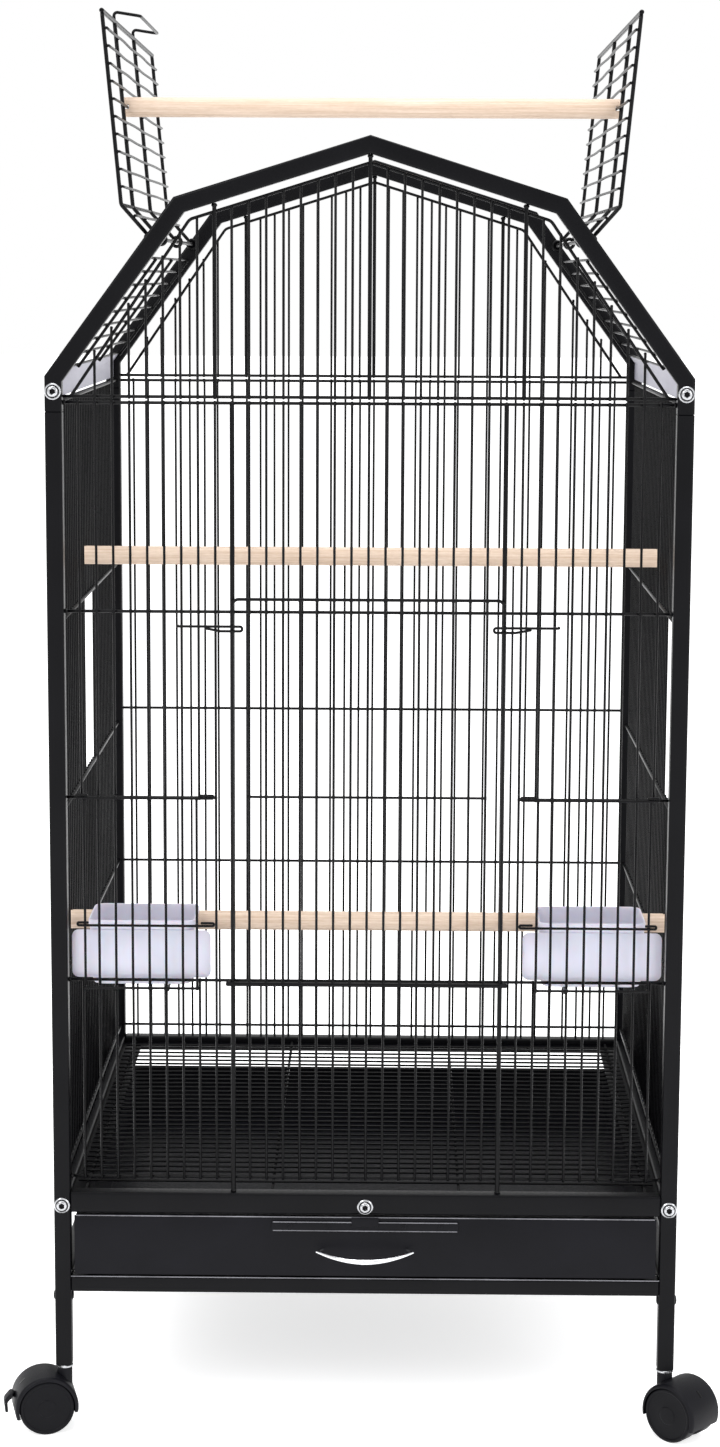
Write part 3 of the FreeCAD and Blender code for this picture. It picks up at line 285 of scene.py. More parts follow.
def node(tree, kind, inputs=None, **settings):
    """Add a node with its settings and inputs; an input that is a socket is linked."""
    item = tree.nodes.new(kind)
    for name, value in settings.items():
        setattr(item, name, value)
    for name, value in (inputs or {}).items():
        if isinstance(value, bpy.types.NodeSocket):
            tree.links.new(value, item.inputs[name])
        else:
            item.inputs[name].default_value = value
    return item


def finish(name, **settings):
    """A new material with its Principled shader set, and the shader's own node tree."""
    material = bpy.data.materials.new(name)
    material.use_nodes = True
    shader = material.node_tree.nodes["Principled BSDF"]
    for socket, value in settings.items():
        shader.inputs[socket.replace("_", " ")].default_value = value
    return material, material.node_tree, shader


# %% One function for a finish
NOISE_SPAN = {"From Min": 0.3, "From Max": 0.7}


def surface(name, colours, roughs, grain, broad, depth_mm=0.0, **settings):
    """A finish on Object coordinates. grain and broad are (blob size in mm, detail) of two
    noises: the broad one moves the colour, the grain moves the roughness and the bumps."""
    material, tree, shader = finish(name, **settings)
    place = node(tree, "ShaderNodeTexCoord").outputs["Object"]
    fine, wide = [node(tree, "ShaderNodeTexNoise",
                       {"Vector": place, "Scale": 1000 / size, "Detail": detail}).outputs[0]
                  for size, detail in (grain, broad)]
    ends = {"To Min": roughs[0], "To Max": roughs[1]}
    rough = node(tree, "ShaderNodeMapRange", {"Value": fine, **NOISE_SPAN, **ends})
    tree.links.new(rough.outputs[0], shader.inputs["Roughness"])
    if colours:
        share = node(tree, "ShaderNodeMapRange", {"Value": wide, **NOISE_SPAN}).outputs[0]
        colour = node(tree, "ShaderNodeMix", {"Factor": share, "A": linear(colours[0]),
                                              "B": linear(colours[1])}, data_type="RGBA")
        tree.links.new(colour.outputs["Result"], shader.inputs["Base Color"])
    if depth_mm:
        bump = node(tree, "ShaderNodeBump",
                    {"Height": fine, "Distance": depth_mm / 1000, "Strength": 1.0})
        tree.links.new(bump.outputs[0], shader.inputs["Normal"])
    return material


# %% Coatings on steel
def coating(name, dark, light, rough_low, rough_high, grain_mm, depth_mm, shine=0.2):
    """Baked coat or moulded nylon: one colour that drifts a little, with fine low bumps."""
    return surface(name, (dark, light), (rough_low, rough_high), (grain_mm, 2), (60, 3),
                   depth_mm, IOR=1.5, Specular_IOR_Level=shine)


# Semi-gloss black powder coat on square tube: its orange peel softens each highlight.
tube_coat = coating("black_powder_coat_tube", "#040406", "#08080b", 0.30, 0.42, 1.6, 0.03, 0.1)
# The same coat on wire is thinner and glossier, so each wire carries a fine bright line.
wire_coat = coating("black_powder_coat_wire", "#030304", "#060608", 0.26, 0.36, 1.2, 0.015, 0.12)
# Coated sheet of the drawer: flat and a little bluer, with a broad soft sheen.
sheet_coat = coating("black_powder_coat_sheet", "#08080c", "#0d0d12", 0.34, 0.46, 2.0, 0.03, 0.1)
# Painted highlight: thin rods of a grey, smoother coat along the top edges stand in for the light that the
# edges of the drawer front, its strip and the rail under it catch.
painted_highlight_coat = coating("painted_edge_highlight_coat", "#4a4a4e", "#7c7c82", 0.22, 0.32, 6.0, 0.01, 0.5)
# The eave strips are coated pale lavender grey and pick up the light of the room.
strip_coat = coating("pale_grey_coat_strip", "#9796a3", "#a3a2af", 0.36, 0.46, 1.6, 0.02, 0.5)
print("coatings", tube_coat.name, wire_coat.name, sheet_coat.name, strip_coat.name)

# %% Planed beech of the perches
# Bare beech: pale, with grain lines 1.5 mm apart that run along the dowel for some 80 mm, and
# short darker flecks. It has no varnish, so it is matt with a faint sheen.
beech, tree, shader = finish("bare_beech_dowel", Roughness=0.62, IOR=1.45)
place = node(tree, "ShaderNodeTexCoord").outputs["Object"]
height, share = {}, {}
for name, size, stretch, detail, rough, low, high in (
        ("grain", 1.5, 50, 4, 0.6, 0.0, 1.0), ("cloud", 45, 3, 2, 0.5, 0.15, 0.75),
        ("fleck", 0.7, 7, 1, 0.5, 0.22, 0.0)):
    scaled = node(tree, "ShaderNodeMapping", {"Vector": place, "Scale": [1 / stretch, 1, 1]})
    noise = {"Vector": scaled.outputs[0], "Scale": 1000 / size, "Detail": detail, "Roughness": rough}
    height[name] = node(tree, "ShaderNodeTexNoise", noise).outputs[0]
    ends = {"To Min": low, "To Max": high}
    share[name] = node(tree, "ShaderNodeMapRange",
                       {"Value": height[name], **NOISE_SPAN, **ends}).outputs[0]
colour = {shade: linear(shade) for shade in ("#b59c86", "#d0bcaa", "#bfa996", "#d8c8b9", "#9b7c62")}
for name, factor, low, high in (("dull", "grain", "#b59c86", "#d0bcaa"),
                                ("clean", "grain", "#bfa996", "#d8c8b9"),
                                ("wood", "cloud", "dull", "clean"), ("flecked", "fleck", "wood", "#9b7c62")):
    inputs = {"Factor": share[factor], "A": colour[low], "B": colour[high]}
    colour[name] = node(tree, "ShaderNodeMix", inputs, data_type="RGBA").outputs["Result"]
tree.links.new(colour["flecked"], shader.inputs["Base Color"])
bump = node(tree, "ShaderNodeBump", {"Height": height["grain"], "Distance": 0.00005, "Strength": 1.0})
tree.links.new(bump.outputs[0], shader.inputs["Normal"])
print("finish", beech.name)

# %% Plastics
# Cups: injection moulded polypropylene, pale lavender grey and slightly see-through, so the
# light comes a little way into the wall.
cup_plastic = surface("frosted_polypropylene", ("#c4c4d2", "#cdcddb"), (0.28, 0.40), (4, 2), (30, 2),
                      IOR=1.49, Subsurface_Weight=0.25, Subsurface_Scale=0.004,
                      Transmission_Weight=0.12)
# Hoods: nylon from a spark-eroded mould, whose fine grain of 0.5 mm is drawn at 0.8 mm.
hood_nylon = coating("grained_black_nylon", "#0a0a0e", "#0f0f14", 0.40, 0.52, 0.8, 0.03, 0.12)
# Wheels: plain hard nylon, smoother than the hoods and a little scuffed.
wheel_nylon = coating("smooth_black_nylon", "#08080b", "#0c0c10", 0.36, 0.48, 5.0, 0.02, 0.1)
print("finishes", cup_plastic.name, hood_nylon.name, wheel_nylon.name)

# %% Plated metals
# Chrome plate on the handle: a clean mirror with faint polishing waves.
chrome = surface("bright_chrome_plate", None, (0.05, 0.13), (9, 3), (9, 3), 0.02,
                 Metallic=1.0, Base_Color=linear("#e6e7ea"))
# Zinc plate on bolts and rings: silvery, with a fine uneven crystal.
zinc = surface("bright_zinc_plate", ("#9a9b9e", "#bcbdbf"), (0.16, 0.30), (0.9, 3), (0.9, 3), 0.01,
               Metallic=1.0)
print("finishes", chrome.name, zinc.name)

# %% [markdown]
# ## The cage's own measures
# The outer box of the posts gives the plan, and the wire spacing is half an inch. Wall wires
# are 2 mm, cross wires 2.4 mm and guide wires 3.6 mm thick.

# %% Measures
PITCH, TUBE = 12.7, 12.7
post_low, post_high = corners("front_left_post")
HALF = -post_low[0]
INNER = HALF - TUBE
POST = HALF - TUBE / 2
SEAM = post_high[2]
EAVE, KNEE, APEX, KNEE_X = SEAM + 26.0, SEAM + 156.5, SEAM + 201.5, HALF - 96.0
STEEP = math.atan2(KNEE - EAVE, HALF - KNEE_X)
SHALLOW = math.atan2(APEX - KNEE, KNEE_X)
BAR, CROSS, THICK = 1.0, 1.2, 1.8
RAIL_TOP = corners("front_upper_rail")[1][2]
PANEL_TOP, GABLE_LOW, PANEL_LOW = EAVE - 19.5, EAVE - 15.0, 202.0
SILL, HEAD, FEEDER_HEAD, NEST_SILL, NEST_HEAD = 357.5, 640.5, 499.0, 486.0, 631.0
BARS = np.arange(-17, 18)
SIDES = (("left", -1), ("right", 1))
rng = np.random.default_rng(7)
print("plan", 2 * HALF, "mm, steep slope", round(math.degrees(STEEP), 1), "degrees")

# %% [markdown]
# ## Posts, rails and roof frames
# Square steel tube has rounded corners, so a rounded square is swept along each run. The two
# roof frames are one run each, mitred at the eaves, at the knees and at the top.

# %% Square tube
UPRIGHT = [f"{end}_{side}_post" for end in ("front", "rear") for side in ("left", "right")]
RAILS = [f"{side}_{level}_rail" for side in ("front", "rear", "left", "right")
         for level in ("upper", "lower")]
for name in UPRIGHT + RAILS:
    low, high = corners(name)
    axis = "xyz"[int(np.argmax(high - low))]
    piece(f"tube_{name}", [bar(low, high, axis, edge=1.7, steps=4)], tube_coat, "cage", [name])


def roof_line(depth):
    """Left seam, eaves, knees and apex, at a depth inside the frame's outer edge."""
    reach = depth / math.cos((STEEP - SHALLOW) / 2)
    way = (STEEP + SHALLOW) / 2
    right = [(HALF - depth, SEAM), (HALF - depth, EAVE - depth * math.tan((math.pi / 2 - STEEP) / 2)),
             (KNEE_X - reach * math.sin(way), KNEE - reach * math.cos(way)),
             (0, APEX - depth / math.cos(SHALLOW))]
    return [(-x, z) for x, z in right] + right[-2::-1]


def at_depth(y, line):
    """Turn (x, z) pairs into points on the plane of one wall."""
    return [(x, y, z) for x, z in line]


for name, y in (("front_roof_frame", -POST), ("rear_roof_frame", POST)):
    path = at_depth(y, roof_line(TUBE / 2))
    piece(f"tube_{name}", [sweep(path, round_rectangle(TUBE, TUBE, 1.7, 4), Y)], tube_coat, "cage",
          [name])

# %% [markdown]
# ## Wire walls
# A wall is upright wires laid on cross wires and spot welded where they meet. All the
# uprights of a wall are one array operation. A weld is a small nub where two wires have
# sunk into each other. The back uprights lean by up to 0.6 mm, as hand-fed wires do.

# %% Welded wires
def nubs(places, way=Z, radius=1.25, half=1.7):
    """Weld spots: short fat rods that hide the contact of two crossing wires."""
    places = np.atleast_2d(places).astype(float)
    return rods(places - way * half, places + way * half, radius, sides=6)


def grid_of(first, second, third):
    """Every combination of three coordinates, one row each."""
    return np.stack(np.meshgrid(first, second, third, indexing="ij"), axis=-1).reshape(-1, 3)


def uprights(x, y, low, high):
    """Start and end points of upright wires at the places x on the plane y."""
    x = np.asarray(x, float)
    return tuple(np.column_stack([x, np.full(len(x), y), np.full(len(x), z)]) for z in (low, high))


# %% Front and back walls
CROSS_Y = -POST + BAR + CROSS
WELD_Y = CROSS_Y - CROSS
door_bars = PITCH * np.arange(-7, 8)
feeder_bars = PITCH * np.concatenate([np.arange(-17, -9), np.arange(10, 18)])
thick_bars = PITCH * np.array([-8, 8])
foot, top = PANEL_LOW - 1.2, PANEL_TOP + 1
shapes = [rods(*uprights(x, -POST, start, end), BAR) for x, start, end in (
    (door_bars, foot, SILL + 1.4), (door_bars, HEAD - 1.4, top), (feeder_bars, foot, SILL + 1.4),
    (feeder_bars, FEEDER_HEAD - 1.4, top), (PITCH * np.array([-9, 9]), foot, top))]
shapes += [rods(*uprights(thick_bars, WELD_Y - THICK, RAIL_TOP, top), THICK, sides=12)]
for z in (PANEL_LOW, SILL, HEAD, PANEL_TOP):
    shapes += [rods([-INNER, CROSS_Y, z], [INNER, CROSS_Y, z], CROSS)]
    shapes += [nubs(grid_of(PITCH * BARS, [WELD_Y], [z]))]
    shapes += [nubs([[-INNER + 0.8, CROSS_Y, z], [INNER - 0.8, CROSS_Y, z]], X, 1.9, 1.4)]
for side in (-1, 1):
    start = np.array([side * 113.3, CROSS_Y, FEEDER_HEAD])
    shapes += [rods(start, [side * INNER, *start[1:]], CROSS)]
shapes += [nubs(grid_of(feeder_bars, [WELD_Y], [FEEDER_HEAD]))]
shapes += [nubs(grid_of(thick_bars, [WELD_Y - THICK], [RAIL_TOP + 0.8]), Z, 2.6, 1.4)]
wirework("wires_front", shapes, "cage", "front_panel")

LEAN = 0.6
starts, ends = uprights(PITCH * BARS, POST, RAIL_TOP, top)
shapes = [rods(starts, ends + rng.uniform(-LEAN, LEAN, (len(BARS), 1)) * X, BAR)]
for z in (PANEL_LOW, SILL, FEEDER_HEAD, HEAD, PANEL_TOP):
    shapes += [rods([-INNER, -CROSS_Y, z], [INNER, -CROSS_Y, z], CROSS)]
    shapes += [nubs(grid_of(PITCH * BARS, [-WELD_Y], [z]))]
wirework("wires_rear", shapes, "cage", "rear_panel")

# %% Side walls
for name, side, first in (("left", -1, -3), ("right", 1, -16)):
    gap = (BARS > first) & (BARS < first + 6)
    cross_x, weld_x = side * (POST - BAR - CROSS), side * (POST - BAR)
    shapes = []
    for group, low, high in ((BARS[~gap], RAIL_TOP, PANEL_TOP + 1), (BARS[gap], RAIL_TOP, NEST_SILL + 1.4),
                             (BARS[gap], NEST_HEAD - 1.4, PANEL_TOP + 1)):
        starts, ends = uprights(PITCH * group, side * POST, low, high)
        shapes += [rods(starts[:, [1, 0, 2]], ends[:, [1, 0, 2]], BAR)]
    for z in (PANEL_LOW, SILL, NEST_SILL, NEST_HEAD, PANEL_TOP):
        shapes += [rods([cross_x, -INNER, z], [cross_x, INNER, z], CROSS)]
        shapes += [nubs(grid_of([weld_x], PITCH * BARS, [z]))]
    wirework(f"wires_{name}", shapes, "cage", f"{name}_side_panel")

# %% [markdown]
# ## Gables
# Under each roof frame the wires are cut to the slope and welded to a border wire bent at
# the knees and rounded at the top. Three thicker wires go on up to the frame and carry the
# panel.

# %% Gable wires
GABLE_DEPTH = TUBE + 6.0


def roof_height(x, depth):
    """Height of the roof line at a depth, over each place x."""
    line = np.array(roof_line(depth)[1:-1])
    return np.interp(x, line[:, 0], line[:, 1])


for name, side in (("front", -1), ("rear", 1)):
    border_y = side * (POST - BAR - CROSS)
    bar_y = side * POST
    line = roof_line(GABLE_DEPTH)[1:-1]
    line[0], line[-1] = (line[0][0], GABLE_LOW), (line[-1][0], GABLE_LOW)
    shapes = [wire(at_depth(border_y, line), CROSS, Y, bend=7.0),
              rods([-INNER, border_y, GABLE_LOW], [INNER, border_y, GABLE_LOW], CROSS)]
    x = PITCH * BARS[(np.abs(BARS) != 9) & (BARS != 0) & (np.abs(BARS) < 17)]
    top = roof_height(x, GABLE_DEPTH) + 0.8
    starts, ends = uprights(x, bar_y, GABLE_LOW - 1, 0)
    ends[:, 2] = top
    shapes += [rods(starts, ends, BAR)]
    shapes += [nubs(np.column_stack([x, np.full(len(x), side * (POST - BAR)), top - 1.2]), Z, 1.25, 0.9)]
    shapes += [nubs(grid_of(PITCH * BARS[np.abs(BARS) < 17], [side * (POST - BAR)], [GABLE_LOW]))]
    x = PITCH * np.array([-9.0, 0, 9.0])
    reach = np.minimum(roof_height(x - 1.6, TUBE), roof_height(x + 1.6, TUBE))
    starts, ends = uprights(x, bar_y - side * 0.6, GABLE_LOW - 1, 0)
    ends[:, 2] = reach
    shapes += [rods(starts, ends, 1.6, sides=10)]
    shapes += [nubs(ends - [0, 0, 1.2], Z, 2.5, 1.5)]
    wirework(f"wires_{name}_gable", shapes, "cage", f"{name}_gable_panel")

# %% [markdown]
# ## Eaves and slopes
# A pale strip closes each eave: it hangs upright and folds in along the slope. Above it wires
# run front to back, up to the rod on which the roof door swings.

# %% Strips, slope wires and hinge rods
STRIP_DROP, STRIP_RISE, HINGE_ALONG, HINGE_DEPTH = 16.5, 10.0, 127.5, 3.0
RIBS_Y = (-124.0, 40.0)


def on_slope(side, along, depth, y):
    """A point on the steep slope, by its distance from the eave and its depth inside."""
    return np.array([side * (HALF - along * math.cos(STEEP) - depth * math.sin(STEEP)), y,
                     EAVE + along * math.sin(STEEP) - depth * math.cos(STEEP)])


hinges = []
for name, side in SIDES:
    fold_z = EAVE - TUBE / 2 * math.tan((math.pi / 2 - STEEP) / 2)
    path = [(side * POST, 0, EAVE - STRIP_DROP), (side * POST, 0, fold_z),
            on_slope(side, STRIP_RISE, TUBE / 2, 0)]
    strip = sweep(path, round_rectangle(1.2, 2 * INNER, 0.5, 2), Y)
    piece(f"{name}_strip", [strip], strip_coat, "cage", [f"{name}_eave_strip"])
    rows = np.arange(STRIP_RISE + BAR, HINGE_ALONG - PITCH / 2, PITCH)
    shapes = [rods(on_slope(side, along, TUBE / 2, -INNER), on_slope(side, along, TUBE / 2, INNER), BAR)
              for along in rows]
    for y in (-INNER + 7.2, *RIBS_Y, INNER - 7.2):
        lie = TUBE / 2 + BAR + CROSS
        foot, head = rows[0] - BAR, rows[-1] + BAR
        shapes += [rods(on_slope(side, foot, lie, y), on_slope(side, head, lie, y), CROSS)]
        shapes += [nubs([on_slope(side, along, lie - CROSS, y) for along in rows], Y, 1.25, 1.6)]
    wirework(f"{name}_slope_wires", shapes, "cage", f"{name}_slope_panel")
    hinges.append(rods(on_slope(side, HINGE_ALONG, HINGE_DEPTH, -INNER),
                       on_slope(side, HINGE_ALONG, HINGE_DEPTH, INNER), 1.5, sides=12))
wirework("roof_hinge_rods", hinges, "cage", "hinge_rods")

# %% [markdown]
# ## Roof doors
# Each roof door has two double ribs and thin cross wires inside a border of one bent wire: up
# the short leg, round the knee, along the long leg, across the free edge and back. Rings at
# the foot hold it to the rod.

# %% Roof doors
OPEN = math.radians(78.0)
SHORT, LONG, EYE, LID = 32.4, 140.0, 3.7, 1.5
LID_Y = INNER - 3.3 - LID
HINGE = on_slope(1, HINGE_ALONG, HINGE_DEPTH, 0)


def on_lid(side, short, long, out, y):
    """A point on an open roof door: along its short leg, its long leg, and out from it."""
    first, second = STEEP + OPEN, SHALLOW + OPEN
    way = second if long else first
    x = HINGE[0] - short * math.cos(first) - long * math.cos(second) + out * math.sin(way)
    z = HINGE[2] + short * math.sin(first) + long * math.sin(second) + out * math.cos(way)
    return np.array([side * x, y, z])


for name, side in SIDES:
    out = unit(on_lid(side, SHORT, 70, 1, 0) - on_lid(side, SHORT, 70, 0, 0))
    legs = [(EYE + 1, 0), (SHORT, 0), (SHORT, LONG)]
    route = [on_lid(side, *leg, 0, -LID_Y) for leg in legs]
    route += [on_lid(side, *leg, 0, LID_Y) for leg in legs[::-1]]
    shapes = [wire(route, LID, out, bend=5.0, sides=12)]
    for y in RIBS_Y:
        for shift in (-1.95, 1.95):
            rib = [on_lid(side, *leg, 0, y + shift) for leg in legs]
            shapes += [wire(rib, 1.4, Y, bend=6.0)]
    stops = (-LID_Y, *RIBS_Y, LID_Y)
    for y in stops:
        ring = np.insert([side * HINGE[0], HINGE[2]] + EYE * circle(28), 1, y, axis=1)
        shapes += [sweep(ring[::-1], 1.4 * circle(10), Y, loop=True)]
    inside = -(LID + BAR)
    shapes += [wire([on_lid(side, SHORT, 0, 0, -LID_Y), on_lid(side, SHORT, 0, 0, LID_Y)], 1.3, Z)]
    rows = [(SHORT, LONG - place) for place in PITCH * np.arange(1, 11)] + [(SHORT - PITCH, 0)]
    y = np.linspace(-LID_Y - 1.6, LID_Y + 1.6, 25)
    for short, long in rows:
        wave = 0.45 * np.sin(y / rng.uniform(26, 34) + rng.uniform(0, 6)) * (1 - (y / y[-1]) ** 6)
        path = on_lid(side, short, long, inside, 0) + np.outer(y, Y) + np.outer(wave, out)
        shapes += [wire(path, BAR, Z, bend=0.1, sides=8)]
        welds = [on_lid(side, short, long, inside + BAR, place) for place in stops]
        shapes += [nubs(welds, Y)]
    edge = [on_lid(side, SHORT, LONG, 0, y) for y in (-LID_Y - 2.2, LID_Y + 2.2)]
    shapes += [rods(*edge, 1.8, sides=12)]
    wirework(f"{name}_roof_door", shapes, f"{name}_lid")

# The hook is one wire: up from one rib, over, along, and down to the other rib.
rise = LONG + LID + 6.0
climb = [(LONG, 0), (rise, 0), (rise - 5, -20)]
hook = [on_lid(-1, SHORT, *step, RIBS_Y[0]) for step in climb]
hook += [on_lid(-1, SHORT, *step, RIBS_Y[1]) for step in climb[::-1]]
wirework("roof_hook", [wire(hook, 1.2, unit([0.6, 0.5, 0.62]), bend=4.0, sides=12)], "left_lid",
         "lid_hook")

# %% [markdown]
# ## Perches
# A perch is a dowel with a saw cut in each end that grips a wire. Past the cut it goes on as
# two half-round prongs with eased tips.

# %% Dowels with sawn ends
def dowel(node_name, slot_wide, slot_deep, upright):
    """A dowel along X with a slot in each end; upright slots stand, others lie flat."""
    low, high = corners(node_name)
    centre, half, radius = (low + high) / 2, (high[0] - low[0]) / 2, (high[2] - low[2]) / 2
    solid = X * (half - slot_deep)
    shapes = [sweep([centre - solid, centre + solid], radius * circle(40), Z)]
    angle = np.linspace(-math.pi / 2, math.pi / 2, 24)
    cut = math.asin(slot_wide / 2 / radius)
    for place in (0, 1):
        bow = angle[(angle > -math.pi / 2 + cut) & (angle < math.pi / 2 - cut)]
        bow = np.concatenate([[-math.pi / 2 + cut], bow, [math.pi / 2 - cut]]) + place * math.pi
        arc = np.stack([np.cos(bow), np.sin(bow)], axis=-1)
        if not upright:
            arc = arc @ np.array([[0, 1], [-1, 0]])
        middle = arc.mean(axis=0)
        sizes = np.array([1.0, 1.0, 0.93])[:, None, None]
        profile = radius * (middle + (arc - middle) * sizes)
        for end in (-1, 1):
            path = [centre + end * solid, centre + end * X * (half - 0.8), centre + end * X * half]
            shapes += [sweep(path, profile if end > 0 else (profile * [-1, 1])[:, ::-1], Z)]
    return shapes


for level, body, cut in (("lower", "cage", (2.1, 2.85, True)), ("middle", "cage", (2.1, 2.85, True)),
                         ("top", "top_perch", (3.4, 4.2, False))):
    name = f"{level}_perch"
    piece(f"perch_{level}", dowel(name, *cut), beech, body, [name])

# %% [markdown]
# ## Doors in the walls
# The doors are ladders of wire that slide up. The main door's side wires and top wire are one
# bent wire. Its lower wire and the guides end in hairpins that pass round the thick wires,
# and the small doors end in short hooks.

# %% Main door and its guides
DOOR_Y = CROSS_Y - CROSS - 3 * THICK - 0.35
DOOR_LOW, DOOR_TOP = SILL - 1.1, SILL - 1.1 + 294.3
DOOR_HALF = 8 * PITCH
BRACE_Z = DOOR_LOW + 145.1
rim = [(-DOOR_HALF, DOOR_Y, DOOR_LOW), (-DOOR_HALF, DOOR_Y, DOOR_TOP), (DOOR_HALF, DOOR_Y, DOOR_TOP),
       (DOOR_HALF, DOOR_Y, DOOR_LOW)]
shapes = [wire(rim, CROSS, Y, bend=5.0, sides=12),
          rods(*uprights(door_bars, DOOR_Y, DOOR_LOW, DOOR_TOP), BAR),
          rods([-88.9, DOOR_Y - 2, BRACE_Z], [88.9, DOOR_Y - 2, BRACE_Z], BAR),
          nubs(grid_of(door_bars, [DOOR_Y - 1], [BRACE_Z])),
          nubs(grid_of(door_bars, [DOOR_Y], [DOOR_TOP - 1.0]), Z, 1.4, 1.2),
          nubs(grid_of(door_bars, [DOOR_Y], [DOOR_LOW + 1.6]), Z, 1.4, 1.2)]
shapes += [rods([-107, DOOR_Y, DOOR_LOW], [107, DOOR_Y, DOOR_LOW], THICK, sides=12)]
for x in (-104, 104):
    shapes += [nubs([x, DOOR_Y, DOOR_LOW + 0.6], X, 2.3, 2.6)]
wirework("door_main", shapes, "main_door")

GUIDE_Y, GUIDE_Z = DOOR_Y - CROSS - 0.35 - BAR, HEAD - 10.0
shapes = []
for side in (-1, 1):
    route = [(side * x, y, GUIDE_Z - drop) for x, y, drop in (
        (142.5, -POST - 0.6, 0), (142.5, GUIDE_Y, 0), (94, GUIDE_Y, 0), (94, GUIDE_Y, 3.5),
        (110, GUIDE_Y, 3.5), (122, GUIDE_Y + 0.8, 1.4))]
    shapes += [wire(route, BAR, unit([0.1, 1, 0.35]), bend=1.7)]
    stays = np.array([[side * 114.3, GUIDE_Y + 1, GUIDE_Z], [side * 139.7, GUIDE_Y + 1, GUIDE_Z]])
    shapes += [rods(stays, stays * [1, 0, 1] + [0, -POST - 0.5, 0], BAR)]
wirework("door_loops", shapes, "cage", "door_guides")

# %% Feeder doors and nest doors
LADDER_Y = CROSS_Y - CROSS - 2 * BAR - 0.35 - BAR
LADDER_TALL = 149.0
for name, side in SIDES:
    x = side * np.array([128.9, 139.7, 152.4, 165.1, 177.8, 190.5, 203.2, 214.0])
    low = SILL - 6.0
    shapes = [rods(*uprights(x, LADDER_Y, low, low + LADDER_TALL), BAR)]
    front_y = LADDER_Y - 2 * BAR
    shapes += [rods([side * 127.5, front_y, low + 1], [side * 215.5, front_y, low + 1], BAR)]
    for z in (low + LADDER_TALL / 3, low + LADDER_TALL - 1):
        route = [(side * x, front_y, z + rise) for x, rise in (
            (126, 2.2), (116, 2.2), (116, 0), (219.5, 0), (219.5, 2.2), (211, 2.2))]
        shapes += [wire(route, BAR, Y, bend=1.1)]
    for z in (low + 1, low + LADDER_TALL / 3, low + LADDER_TALL - 1):
        shapes += [nubs(grid_of(x, [front_y + BAR], [z]))]
    wirework(f"door_{name}_feeder", shapes, f"{name}_feeder_door")

for name, side, first in (("left", -1, -3), ("right", 1, -16)):
    low, high = corners(f"{name}_nest_door")
    bars_y = PITCH * np.arange(first + 1, first + 6)
    ladder_x = side * (POST + 2 * BAR + 0.35)
    starts, ends = uprights(bars_y, ladder_x, low[2], high[2])
    shapes = [rods(starts[:, [1, 0, 2]], ends[:, [1, 0, 2]], BAR)]
    for z, hook_rise in ((low[2] + 1, 3.0), (high[2] - 1, -3.0)):
        edge_x = side * (POST + 4 * BAR + 0.35)
        near, far = low[1] + 1.2, high[1] - 1.2
        route = [(edge_x, y, z + rise) for y, rise in (
            (low[1] + 8, hook_rise), (near, hook_rise), (near, 0), (far, 0), (far, hook_rise),
            (high[1] - 8, hook_rise))]
        shapes += [wire(route, BAR, X, bend=1.4)]
        shapes += [nubs(grid_of([ladder_x + side * BAR], bars_y, [z]))]
    wirework(f"door_{name}_nest", shapes, f"{name}_nest_door")

# %% [markdown]
# ## Cups and their wires
# A cup is a moulded trough behind a wider front plate. The trough is a stack of rounded
# rectangles up the outside, over the rim and down the inside, so its wall has a thickness.

# %% Cups
for name, side in SIDES:
    low, high = corners(f"{name}_cup")
    middle_x = (low[0] + high[0]) / 2
    deep, tall, wide, wall = high[1] - low[1], high[2] - low[2], 82.0, 1.8
    rows = [(wide - less, deep - less, corner, height) for less, corner, height in (
        (16, 4, 0), (8, 7, 1.2), (5, 8, 5), (1.5, 8, tall - 5), (0, 8, tall - 4), (0, 8, tall - 0.6),
        (1.2, 7.5, tall), (2.6, 7, tall - 0.3), (2 * wall + 1, 6.5, tall - 4), (2 * wall + 4.5, 6, 7),
        (2 * wall + 9, 5, 2.8), (2 * wall + 16, 3, 1.9))]
    trough = stack(rows, [middle_x, (low[1] + high[1]) / 2, low[2]])
    plate_low, plate_high = low[2] + 7.0, low[2] + 44.0
    outline = round_rectangle(high[0] - low[0], plate_high - plate_low, 5.0, 5)
    inner = round_rectangle(high[0] - low[0] - 0.8, plate_high - plate_low - 0.8, 4.6, 5)
    centre = np.array([middle_x, 0, (plate_low + plate_high) / 2])
    path = [centre + Y * y for y in (low[1] + 1.7, low[1] + 1.4, low[1] + 0.3, low[1])]
    plate = sweep(path, np.stack([inner, outline, outline, inner]), Z)
    piece(f"cup_{name}", [trough, plate], cup_plastic, f"{name}_cup", [f"{name}_cup"])

rest_low, rest_high = corners("cup_rests")
shapes = []
for side in (-1, 1):
    trough_x = np.mean([corners(f"{'left' if side < 0 else 'right'}_cup")[end][0] for end in (0, 1)])
    for x in (trough_x - 20.5, trough_x + 20.5):
        route = [(x, CROSS_Y, SILL - 0.6), (x, CROSS_Y, rest_high[2] - 9.3), (x, CROSS_Y, rest_low[2] + 1),
                 (x, rest_high[1] - 1, rest_low[2] + 1)]
        shapes += [wire(route, BAR, X, bend=2.5)]
wirework("cup_wires", shapes, "cage", "cup_rests")

# %% [markdown]
# ## Floor
# The grate is a mat of welded wires that rests on folded ledges. Four long wires carry it
# from front to back and the rest lie across them.

# %% Floor grate
low, high = corners("floor_grate")
rows = PITCH * np.arange(-16, 17)
long_x = np.array([-3, -1, 1, 3]) * (INNER - 3) / 3.1
across = np.column_stack([np.full(len(rows), low[0]), rows, np.full(len(rows), high[2] - BAR)])
shapes = [rods(across, across * [-1, 1, 1], BAR)]
along = np.column_stack([long_x, np.full(4, low[1]), np.full(4, low[2] + CROSS)])
shapes += [rods(along, along * [1, -1, 1], CROSS)]
shapes += [nubs(grid_of(long_x, rows, [low[2] + 2 * CROSS]), Y, 1.2, 1.5)]
wirework("grate_mat", shapes, "floor_grate")

